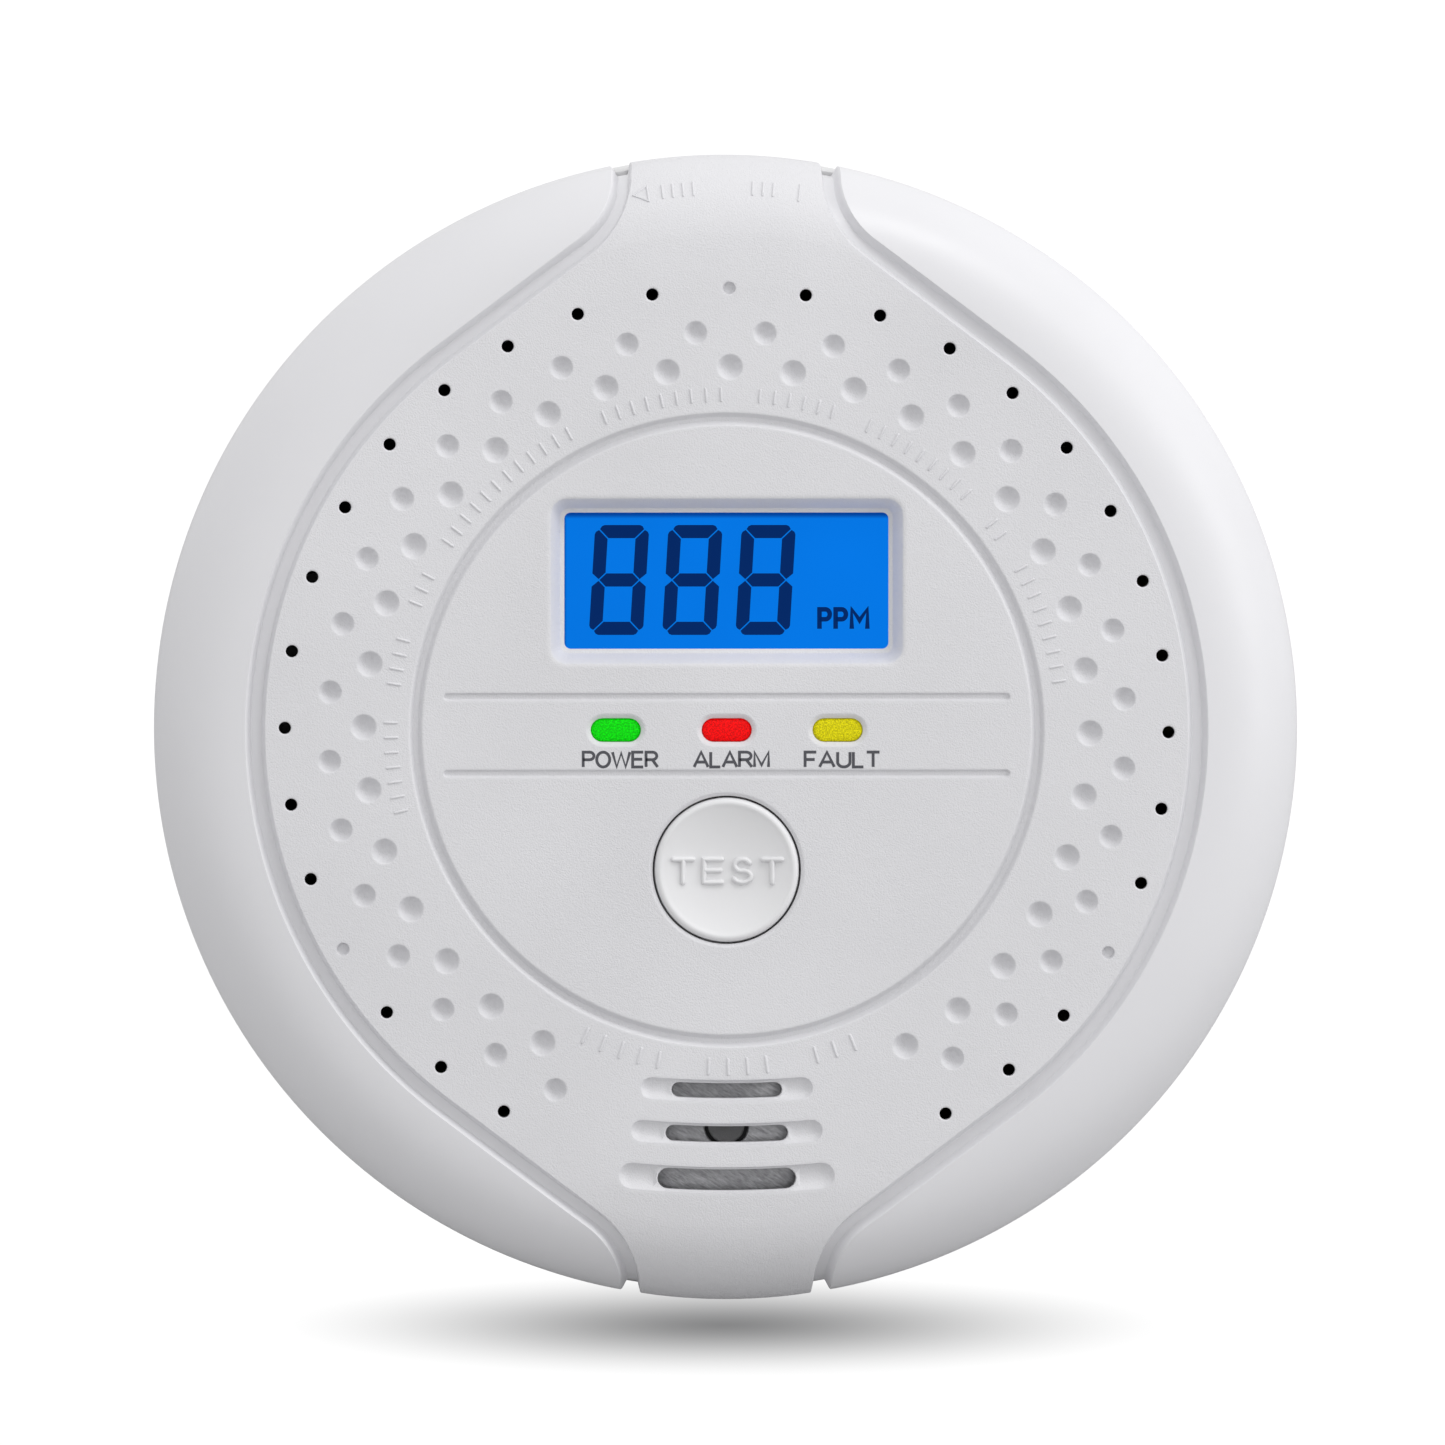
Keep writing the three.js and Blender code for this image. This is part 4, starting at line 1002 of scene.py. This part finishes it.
def raised_marks():
    """Moulded ticks round the panel and a turning arrow and stop bar on the top edge."""
    marks = []

    def stroke(line, width):
        marks.append(ridge(np.array(line), width, MARK_HEIGHT, skin.lift, sink=0.02))

    for radius, angle, step, groups, length, width in TICK_RINGS:
        for size in groups:
            for _ in range(size):
                stroke([polar(radius + share * length, angle) for share in (-0.5, 0, 0.5)], width)
                angle += step
            angle += step * TICK_GAP
    edge_u = skin.unroll(EDGE_R)
    for line, width in EDGE_MARKS:
        stroke([polar(edge_u + y, math.degrees(x / EDGE_R)) for x, y in line], width)
    return join(*marks)


add_piece("cover_marks", raised_marks(), [panel_plastic], "detector", "cover_white")


# ---- button, lenses and display


BUTTON_LOW, BUTTON_HIGH = wall_box("test_button")
BUTTON_R = 6.315
DISH_R, DISH_DEPTH = 5.6, 1.0
WORD_HEIGHT, WORD_WIDTH, WORD_WEIGHT, WORD_STRETCH, WORD_RELIEF = 2.5, 9.9, 0.5, 1.25, 0.42
WORD_SHIFT, WORD_BASE, WORD_STEP = 0.08, -1.35, 0.3
FLANGE_LOW, FLANGE_HIGH = 33.3, 34.5


def button_dish(radius):
    """Depth of the button's hollow top face at a radius."""
    return BUTTON_HIGH[2] - DISH_DEPTH + (DISH_DEPTH - 0.1) * np.minimum(radius / DISH_R, 1) ** 2.4


def test_button():
    x, y = 0.0, middle("test_button")[1]
    top, low = BUTTON_HIGH[2], BUTTON_LOW[2]
    dish = [(r, float(button_dish(r))) for r in np.linspace(0, DISH_R, 22)]
    rim = [(5.72, top - 0.03), (5.85, top), (6.0, top - 0.03), (6.13, top - 0.12), (6.23, top - 0.27)]
    flange_r = (BUTTON_HIGH[0] - BUTTON_LOW[0]) / 2
    rest = [
        (6.29, top - 0.46), (BUTTON_R, top - 0.75), (BUTTON_R, FLANGE_HIGH),
        (flange_r - 0.1, FLANGE_HIGH), (flange_r, FLANGE_HIGH - 0.1), (flange_r, FLANGE_LOW + 0.1),
        (flange_r - 0.1, FLANGE_LOW), (5.2, FLANGE_LOW), (5.2, 35.0), (1.8, 35.0), (1.8, low + 0.1),
        (1.7, low), (0, low),
    ]
    cap = lathe(dish + rim + rest, (x, y), 112)

    def on_dish(plane, push):
        radius = np.hypot(plane[:, 0] - x, plane[:, 1] - y)
        return np.column_stack([plane, np.minimum(button_dish(radius) + push, top - 0.02)])

    letters = []
    word = lettering(
        "TEST", WORD_HEIGHT, WORD_WEIGHT, x + WORD_SHIFT, y + WORD_BASE, WORD_WIDTH, WORD_STRETCH
    )
    for line, _ in word:
        dense = [line[0]]
        for a, b in zip(line, line[1:]):
            steps = max(1, int(np.linalg.norm(b - a) / WORD_STEP))
            dense += [a + (b - a) * k / steps for k in range(1, steps + 1)]
        letters.append(ridge(dense, WORD_WEIGHT, WORD_RELIEF, on_dish, steps=8, sink=0.05))
    return join(cap, *letters)


add_piece("test_button_cap", test_button(), [button_plastic], "button", "button_white", "test_button")


LENS_BODY, LENS_SINK, LENS_GLOW = (4.3, 1.97), 0.22, 0.3


def lens(node, tone):
    low, high = wall_box(node)
    x, y = middle(node)[:2]
    flange, body, top = (high - low)[:2], LENS_BODY, high[2] - LENS_SINK
    at = lambda size, grow: obround(x, y, size[0] + 2 * grow, size[1] + 2 * grow)
    levels = [
        (at(flange, -0.15), low[2]), (at(flange, 0), low[2] + 0.15), (at(flange, 0), FLANGE_HIGH - 0.1),
        (at(flange, -0.1), FLANGE_HIGH), (at(body, 0), FLANGE_HIGH), (at(body, 0), top - 0.25),
        (at(body, -0.06), top - 0.12), (at(body, -0.18), top - 0.03), (at(body, -0.4), top),
    ]
    name = f"lens_{tone}"
    shell = tinted(f"{name}_tint", LENS_TONES[tone], LENS_GLOW)
    add_piece(f"{name}_cap", stack(levels), [shell], "detector", name, node)


for lens_node, lens_tone in (("power_lens", "green"), ("alarm_lens", "red"), ("fault_lens", "yellow")):
    lens(lens_node, lens_tone)


DIGIT_X, DIGIT_Y, DIGIT_PITCH = -12.02, 8.25, 6.4
DIGIT_W, DIGIT_H, DIGIT_STROKE, DIGIT_GAP, DIGIT_SLANT = 4.73, 9.6, 1.15, 0.075, 3.4
UNIT_X, UNIT_Y, UNIT_HEIGHT, UNIT_WIDTH, UNIT_WEIGHT = 10.22, 8.57, 2.12, 4.6, 0.4
SEGMENT_SINK, SEGMENT_HEIGHT, STROKE_STEP = 0.01, 0.03, 0.001 / 30


def display():
    low, high = wall_box("lcd_glass")
    x, y = middle("lcd_glass")[:2]
    w, h = high[0] - low[0], high[1] - low[1]
    face = high[2] - 0.06
    edges = ((0.3, 0.4, low[2]), (0, 0.5, low[2] + 0.15), (0, 0.5, face - 0.15), (0.3, 0.4, face))
    points, faces = stack([(rounded_box(x, y, w - g, h - g, r), d) for g, r, d in edges])
    kinds = [int(all(points[i][2] > face - 0.01 for i in f)) for f in faces]
    edge = moulded("display_glass_edge", (0.28, 0.34, 0.38), grain=0.05, roughness=(0.1, 0.2))
    add_piece("display_glass_plate", (points, faces, kinds), [edge, display_blue()], "detector",
              "display_glass", "lcd_glass")

    w, h, t, m, half = DIGIT_W, DIGIT_H, DIGIT_STROKE, DIGIT_H / 2, DIGIT_STROKE / 2
    slant = math.tan(math.radians(DIGIT_SLANT))

    def segment(outline, axis, split):
        """A segment of the figure, its two ends drawn in so that it stands clear of the next."""
        outline = np.array(outline)[::-1]
        outline[:, axis] += np.where(outline[:, axis] < split, DIGIT_GAP, -DIGIT_GAP)
        return outline

    def flip(outline, sx, sy):
        return np.abs(outline - (w * sx, h * sy))[:: 1 if sx == sy else -1]

    upright = segment([
        (0, h - 0.75), (0.1, h - 0.52), (0.36, h - 0.36), (t, h - t), (t, m + half), (half, m),
        (0, m + half - 0.08),
    ], 1, m + t)
    top_bar = segment([
        (0.36, h - 0.36), (0.52, h - 0.1), (0.75, h), (w - 0.75, h), (w - 0.52, h - 0.1),
        (w - 0.36, h - 0.36), (w - t, h - t), (t, h - t),
    ], 0, w / 2)
    middle_bar = segment([
        (half, m), (t, m + half), (w - t, m + half), (w - half, m), (w - t, m - half), (t, m - half),
    ], 0, w / 2)
    figure = [top_bar, flip(top_bar, 0, 1), middle_bar]
    figure += [flip(upright, sx, sy) for sx in (0, 1) for sy in (0, 1)]
    shapes = []
    for digit in range(3):
        for outline in figure:
            laid = outline @ [[1, 0], [slant, 1]] + (DIGIT_X + digit * DIGIT_PITCH, DIGIT_Y)
            shapes.append(stack([(laid, face - SEGMENT_SINK), (laid, face + SEGMENT_HEIGHT)]))
    for line, closed in lettering("ppm", UNIT_HEIGHT, 0.42, UNIT_X, UNIT_Y, UNIT_WIDTH):
        level = face + SEGMENT_HEIGHT + STROKE_STEP * len(shapes)
        shapes.append(ribbon(line, UNIT_WEIGHT, face - SEGMENT_SINK, level, closed))
    segment_ink = glowing("segment_blue", SEGMENT_BLUE, 0.9)
    add_piece("display_segments", join(*shapes), [segment_ink], "detector", "display_glass")


display()


# ---- gas sensor


def sensor():
    centre = middle("co_sensor_cap")[:2]
    (low, _, base), (high, _, top) = wall_box("co_sensor_cap")
    r, hole, wall = (high - low) / 2, 1.9, 0.6
    cap = lathe([
        (hole, top - wall), (hole, top - 0.1), (hole + 0.1, top), (r - 0.7, top), (r - 0.3, top - 0.12),
        (r - 0.08, top - 0.35), (r, top - 0.7), (r, base), (r - wall, base), (r - wall, top - wall),
        (hole, top - wall),
    ], centre)
    steel = brushed("sensor_cap_steel", (0.42, 0.42, 0.435), (0.36, 0.55), 3000.0, (0.42, 1, 1.9), 1.0, -0.55)
    add_piece("sensor_cap_can", cap, [steel], "detector", "sensor_steel", "co_sensor_cap")

    (low, _, base), (high, _, top) = wall_box("co_sensor_membrane")
    r = (high - low) / 2
    disc = lathe([
        (0, top - 0.05), (r * 0.6, top - 0.03), (r - 0.12, top), (r, top - 0.12), (r, base), (0, base),
    ], centre, 48)
    felt = moulded("membrane_felt", (0.24, 0.24, 0.245), 0.8, 0.09, (0.8, 0.95), 0.15)
    add_piece("sensor_filter_disc", disc, [felt], "detector", "membrane_grey", "co_sensor_membrane")


sensor()


# ---- wall plate and rear housing


LUG_ANGLES = (60, 180, 300)
PLATE_R, PLATE_FRONT, PLATE_RIM_TOP, PLATE_RIM_INNER = 45.5, 2.0, 5.0, 43.7
PLATE_SIDE = ((45.5, 4.7), (45.2, PLATE_RIM_TOP), (44.0, PLATE_RIM_TOP), (PLATE_RIM_INNER, 4.7))
PLATE_GROOVES, PLATE_GROOVE_HALF, PLATE_GROOVE_DEPTH = (40.6, 20.0), 0.8, 0.6
PLATE_LUG, PLATE_LUG_HALF, PLATE_STOP = (44.9, 47.2), 12, 1.4
KEYHOLE_X, KEYHOLE_HEAD_R, KEYHOLE_SLOT_R, KEYHOLE_LENGTH = 30.0, 4.5, 2.4, 7.0


def ring(radius):
    return circle(0, 0, radius, BIG_SIDES)


def keyhole(x, grow=0.0):
    """A round hole with a narrower slot running up from it."""
    head, slot = KEYHOLE_HEAD_R + grow, KEYHOLE_SLOT_R + grow
    meet = math.asin(slot / head)
    below = np.linspace(math.pi / 2 + meet, 2.5 * math.pi - meet, 30)
    above = np.linspace(0, math.pi, 13)
    points = [(head * math.cos(a), head * math.sin(a)) for a in below]
    points += [(slot * math.cos(a), KEYHOLE_LENGTH + slot * math.sin(a)) for a in above]
    return np.array(points) + (x, 0)


def lug(inner, outer, start, end, low, high, soft=0.15, steps=16):
    """Part of a ring between two angles, with softened edges."""

    def sector(shrink):
        trim = math.degrees(shrink / outer)
        turn = np.linspace(start + trim, end - trim, steps)
        return [polar(outer - shrink, a) for a in turn] + [polar(inner, a) for a in turn[::-1]]

    return stack([
        (sector(soft), low), (sector(0), low + soft), (sector(0), high - soft), (sector(soft), high),
    ])


def mounting_plate():
    shell = Shell()
    sides = (-KEYHOLE_X, KEYHOLE_X)
    lines = [(ring(PLATE_R - 0.4), 0.0)] + [(keyhole(x, 0.4), 0.0) for x in sides]
    for radius in PLATE_GROOVES:
        for share in GROOVE_SHARES:
            push = -groove_push(abs(share)) * PLATE_GROOVE_DEPTH
            lines.append((ring(radius + share * PLATE_GROOVE_HALF), push))
    back = shell.sheet(0.0, (ring(PLATE_R), 0.4), [(keyhole(x), 0.35) for x in sides], lines)
    front = shell.sheet(PLATE_FRONT, (ring(PLATE_RIM_INNER),), [(keyhole(x),) for x in sides])
    top = shell.climb(back[0], *[(ring(r), d) for r, d in PLATE_SIDE])
    shell.close(top, front[0])
    for low, high in zip(back[1:], front[1:]):
        shell.close(low, high)
    lugs = []
    for angle in LUG_ANGLES:
        end = angle + PLATE_LUG_HALF
        lugs.append(lug(*PLATE_LUG, angle - PLATE_LUG_HALF, end, 3.4, PLATE_RIM_TOP))
        lugs.append(lug(*PLATE_LUG, end - PLATE_STOP, end, 1.0, 4.9))
    return join(shell.shape(), *lugs)


add_piece("wall_mount_plate", mounting_plate(), [plate_plastic], "wall_plate", "plate_white",
          "mounting_plate")


FLOOR_BACK, FLOOR_FRONT, HOUSING_SEAM, LIP_TOP = 5.4, 7.2, 18.0, 20.5
HOUSING_SIDE = (
    # radius and depth, from the recess round the skirt and the lip down to the floor
    (47.6, 1.3), (47.85, 1.0), (48.8, 1.0), (49.1, 1.2), (49.24, 1.6), (49.6, 3.2), (49.6, 17.7),
    (49.35, HOUSING_SEAM), (47.4, HOUSING_SEAM), (47.4, 20.2), (47.1, LIP_TOP), (46.5, LIP_TOP),
    (46.2, 20.2), (46.2, 7.6),
)
HOUSING_LUG, HOUSING_LUG_HALF = (46.0, 48.0), 10
SLIT_X, SLIT_Y, SLIT_SIZE = 27.65, 14.9, (1.4, 4.6)
STANDOFF = ((0, 22.6), (1.2, 22.6), (1.2, 24.5), (2.2, 24.5), (2.4, 24.3), (2.4, 21.7), (0, 21.7))
STANDOFF_SPOTS = ((-20.0, -22.5), (-20.0, 22.5), (23.0, -22.5), (23.0, 22.5))
BAY_W, BAY_H, BAY_WALL, BAY_UNDER, BAY_TOP = 56.8, 45.6, 1.4, 20.7, 22.2
WELL_R, WELL_BORE, WELL_HOLE, WELL_STEP = 3.6, 3.0, 1.7, 16.2


def rear_housing():
    shell = Shell()
    bosses = [polar(BOSS_RING, angle) for angle in BOSS_ANGLES]
    inner_bay = lambda: rounded_box(0, 0, BAY_W, BAY_H, 0.8)
    outer_bay = lambda: rounded_box(0, 0, BAY_W + 2 * BAY_WALL, BAY_H + 2 * BAY_WALL, 1.6)
    slits = [rounded_box(side * SLIT_X, side * SLIT_Y, *SLIT_SIZE, 0.3, 3) for side in (-1, 1)]
    bores, wells = [[(circle(*boss, r, 32),) for boss in bosses] for r in (WELL_BORE, WELL_R)]
    back = shell.sheet(FLOOR_BACK, (ring(47.6),), [(inner_bay(),), *bores])
    front = shell.sheet(FLOOR_FRONT, (ring(45.8),), [(outer_bay(),), *wells])
    rim = shell.climb(back[0], *[(ring(r), d) for r, d in HOUSING_SIDE])
    shell.close(rim, front[0])
    under = shell.sheet(BAY_UNDER, (inner_bay(),), [(slit,) for slit in slits])
    roof = shell.sheet(
        BAY_TOP, (rounded_box(0, 0, BAY_W + 2, BAY_H + 2, 1.2),), [(slit,) for slit in slits]
    )
    shell.close(back[1], under[0])
    shell.close(shell.climb(front[1], (outer_bay(), BAY_TOP - 0.4)), roof[0])
    for low, high in zip(under[1:], roof[1:]):
        shell.close(low, high)
    for boss, bore, well in zip(bosses, back[2:], front[2:]):
        at = lambda r, boss=boss: circle(*boss, r, 32)
        inside_loop = shell.climb(
            bore, (at(WELL_BORE), WELL_STEP), (at(WELL_HOLE), WELL_STEP), (at(WELL_HOLE), HOUSING_SEAM)
        )
        outside_loop = shell.climb(
            well, (at(WELL_R), HOUSING_SEAM - 0.2), (at(WELL_R - 0.2), HOUSING_SEAM),
        )
        shell.close(inside_loop, outside_loop)
    extras = [
        lug(*HOUSING_LUG, angle - HOUSING_LUG_HALF, angle + HOUSING_LUG_HALF, 1.0, 3.0)
        for angle in LUG_ANGLES
    ]
    extras += [lathe(STANDOFF, spot, 32) for spot in STANDOFF_SPOTS]
    sounder_x, sounder_y = middle("sounder_case")[:2]
    sounder_back = wall_box("sounder_case")[0][2]
    for x, w, low, high in (
        (sounder_x - 3.5, 6, FLOOR_FRONT - 0.5, sounder_back - 0.3),
        (sounder_x, 11, sounder_back - 1.8, sounder_back - 0.3),
    ):
        post = rounded_box(x, sounder_y, w, 4, 0.5)
        extras.append(stack([(post, low), (post, high)]))
    return join(shell.shape(), *extras)


add_piece("rear_housing_shell", rear_housing(), [housing_plastic], "detector", "housing_white",
          "rear_housing")


# ---- finishes of the frame's own parts


def dress(look, *nodes):
    """Gives a node of the fixed frame a better material, in its own material slots."""
    for node in nodes:
        for slot in bpy.data.objects[node].material_slots:
            slot.material = look


PLASTICS = (
    # name, colour, grain, grain size, roughness, mottle, nodes
    ("chip_epoxy", (0.018, 0.018, 0.02), 0.5, 0.12, (0.5, 0.7), 0.2, "control_chip"),
    ("coil_ferrite_grey", (0.05, 0.05, 0.055), 0.6, 0.2, (0.5, 0.7), 0.25, "sounder_coil"),
    ("capacitor_vinyl", (0.02, 0.03, 0.07), 0.1, 0.3, (0.2, 0.32), 0.15, "capacitor_1 capacitor_2"),
    ("socket_nylon_cream", (0.7, 0.67, 0.58), 0.2, 0.3, (0.35, 0.5), 0.06, "battery_socket sounder_socket"),
    ("switch_black_plastic", (0.02, 0.02, 0.022), 0.3, 0.2, (0.35, 0.5), 0.2, "switch_body switch_plunger"),
    ("display_frame_white", (0.66, 0.66, 0.67), 0.2, 0.25, (0.45, 0.6), 0.04, "lcd_frame"),
    ("connector_strip_rubber", (0.09, 0.09, 0.1), 0.5, 0.15, (0.6, 0.8), 0.3, "lcd_connector_strip"),
    ("sensor_body_black", (0.025, 0.025, 0.027), 0.4, 0.2, (0.4, 0.6), 0.2, "co_sensor_body"),
    ("sounder_case_black", (0.02, 0.02, 0.022), 0.4, 0.25, (0.4, 0.6), 0.2, "sounder_case"),
    ("lead_red_pvc", (0.5, 0.015, 0.012), 0.2, 0.3, (0.35, 0.5), 0.12, "battery_lead_red sounder_lead_red"),
    ("lead_black_pvc", (0.015, 0.015, 0.016), 0.2, 0.3, (0.35, 0.5), 0.12,
     "battery_lead_black sounder_lead_black"),
)
METALS = (
    # name, colour, roughness, scratches per metre, stretch, strength, nodes
    ("switch_cover_steel", (0.55, 0.55, 0.56), (0.25, 0.4), 1500.0, (9, 1, 1), 0.25, "switch_cover"),
    ("sounder_disc_brass", (0.62, 0.45, 0.2), (0.25, 0.42), 1200.0, (5, 1, 1), 0.25, "sounder_disc"),
    ("contact_nickel_plate", (0.6, 0.58, 0.54), (0.18, 0.34), 1600.0, (1, 6, 1), 0.25,
     "contact_positive contact_negative contact_bridge_upper contact_bridge_lower"),
    ("screw_zinc", (0.52, 0.52, 0.53), (0.3, 0.5), 2200.0, (1, 1, 1), 0.4,
     "housing_screw_1 housing_screw_2 housing_screw_3 board_screw_1 board_screw_2 board_screw_3 "
     "board_screw_4"),
)

for finish, rows in ((moulded, PLASTICS), (brushed, METALS)):
    for *look, nodes in rows:
        dress(finish(*look), *nodes.split())
for led_node, led_tone in (("power_led", "green"), ("alarm_led", "red"), ("fault_led", "yellow")):
    dress(tinted(f"led_{led_tone}_epoxy", LENS_TONES[led_tone], 0.8), led_node)
dress(circuit_board(), "main_board")
dress(glowing("backlight_diffuser", (0.5, 0.6, 0.75), 0.5), "lcd_backlight")
dress(cell_jacket(), "aa_cell_1", "aa_cell_2", "aa_cell_3")


# ---- stage, light and camera


FLOOR_SIZE, FLOOR_GAP, FLOOR_SLOPE = 3.0, 0.6, 7.0
FLOOR_BOUNCE, FLOOR_SHADOW = (0.48, 0.48, 0.48), (0.222, 0.222, 0.225)
SHADOW_FADE, SHADOW_Y, SHADOW_SQUASH = (-0.003, 0.045), 0.018, 1.45
BACKDROP, AMBIENT = 1.05, 0.9
LAMPS = (
    # name, place, disc size, watts
    ("key", (0.35, -0.6, 0.95), 0.4, 3.0),
    ("right", (0.95, -0.45, 0.3), 0.6, 2.75),
)
FRAME_WIDTH, FILM, CAMERA_DISTANCE = 126.45 * MM, 36, 3.0
CAMERA_AZIMUTH, CAMERA_ELEVATION, CAMERA_AIM = -0.8, 1.6, (-0.25, 0.42, 28.0)


def seen_or_lit(tree, output, seen, lit):
    """Shows one shader to the camera while another one lights the scene."""
    ray = add_node(tree, "ShaderNodeLightPath").outputs["Is Camera Ray"]
    mix = add_node(tree, "ShaderNodeMixShader", {0: ray, 1: lit.outputs[0], 2: seen.outputs[0]})
    tree.links.new(mix.outputs[0], output.inputs["Surface"])


def floor_sheet():
    """A pale sheet just under the detector, with a soft shadow set by place on the sheet."""
    slope = math.tan(math.radians(FLOOR_SLOPE))
    level = -(OUTER_R + FLOOR_GAP) * MM
    mesh = bpy.data.meshes.new("floor")
    corners = [(x * FLOOR_SIZE, y * FLOOR_SIZE) for x, y in ((-1, -1), (1, -1), (1, 1), (-1, 1))]
    mesh.from_pydata([(x, y, level + y * slope) for x, y in corners], [], [(0, 1, 2, 3)])
    m, tree, shader = material("floor_paper")
    feed(tree, shader, {"Base Color": (*FLOOR_BOUNCE, 1), "Roughness": 0.9})
    spot = add_node(tree, "ShaderNodeMapping", {
        "Vector": position(tree), "Location": (0, SHADOW_Y * SHADOW_SQUASH, 0),
        "Scale": (1, SHADOW_SQUASH, 0),
    })
    away = add_node(tree, "ShaderNodeVectorMath", {0: spot.outputs[0]}, operation="LENGTH")
    fade = spread(tree, away.outputs["Value"], 0, 1, *SHADOW_FADE)
    fade.node.interpolation_type = "SMOOTHSTEP"
    tone = two_tone(tree, fade, FLOOR_SHADOW, (1, 1, 1))
    paper = add_node(tree, "ShaderNodeEmission", {"Color": tone, "Strength": BACKDROP})
    seen_or_lit(tree, tree.nodes["Material Output"], paper, shader)
    mesh.materials.append(m)
    return new_object("floor", mesh)


def aim_at(obj, where, back):
    """Puts a lamp or the camera at a place, facing against a direction."""
    obj.location = where
    obj.rotation_mode = "QUATERNION"
    obj.rotation_quaternion = (-Vector(back)).to_track_quat("-Z", "Y")


def light():
    world = bpy.data.worlds.new("studio")
    bpy.context.scene.world = world
    world.use_nodes = True
    tree = world.node_tree
    tree.nodes.clear()
    seen, ambient = [
        add_node(tree, "ShaderNodeBackground", {"Color": (1, 1, 1, 1), "Strength": strength})
        for strength in (BACKDROP, AMBIENT)
    ]
    seen_or_lit(tree, add_node(tree, "ShaderNodeOutputWorld"), seen, ambient)
    for name, where, size, watts in LAMPS:
        lamp = bpy.data.lights.new(name, "AREA")
        lamp.shape, lamp.size, lamp.energy = "DISK", size, watts
        obj = new_object(name, lamp)
        obj.visible_camera = False
        aim_at(obj, where, where)
    bpy.context.scene.view_settings.view_transform = "Standard"
    bpy.context.scene.view_settings.look = "None"


def camera():
    """A long lens, close to square on, from a little above and to the left."""
    azimuth, elevation = math.radians(CAMERA_AZIMUTH), math.radians(CAMERA_ELEVATION)
    level = math.cos(elevation)
    back = Vector((math.sin(azimuth) * level, -math.cos(azimuth) * level, math.sin(elevation)))
    data = bpy.data.cameras.new("camera")
    data.sensor_width = FILM
    data.lens = FILM * CAMERA_DISTANCE / FRAME_WIDTH
    data.clip_start = 0.01
    cam = new_object("camera", data)
    aim_at(cam, Vector(place([CAMERA_AIM])[0]) + back * CAMERA_DISTANCE, back)
    bpy.context.scene.camera = cam


floor = floor_sheet()
light()
camera()
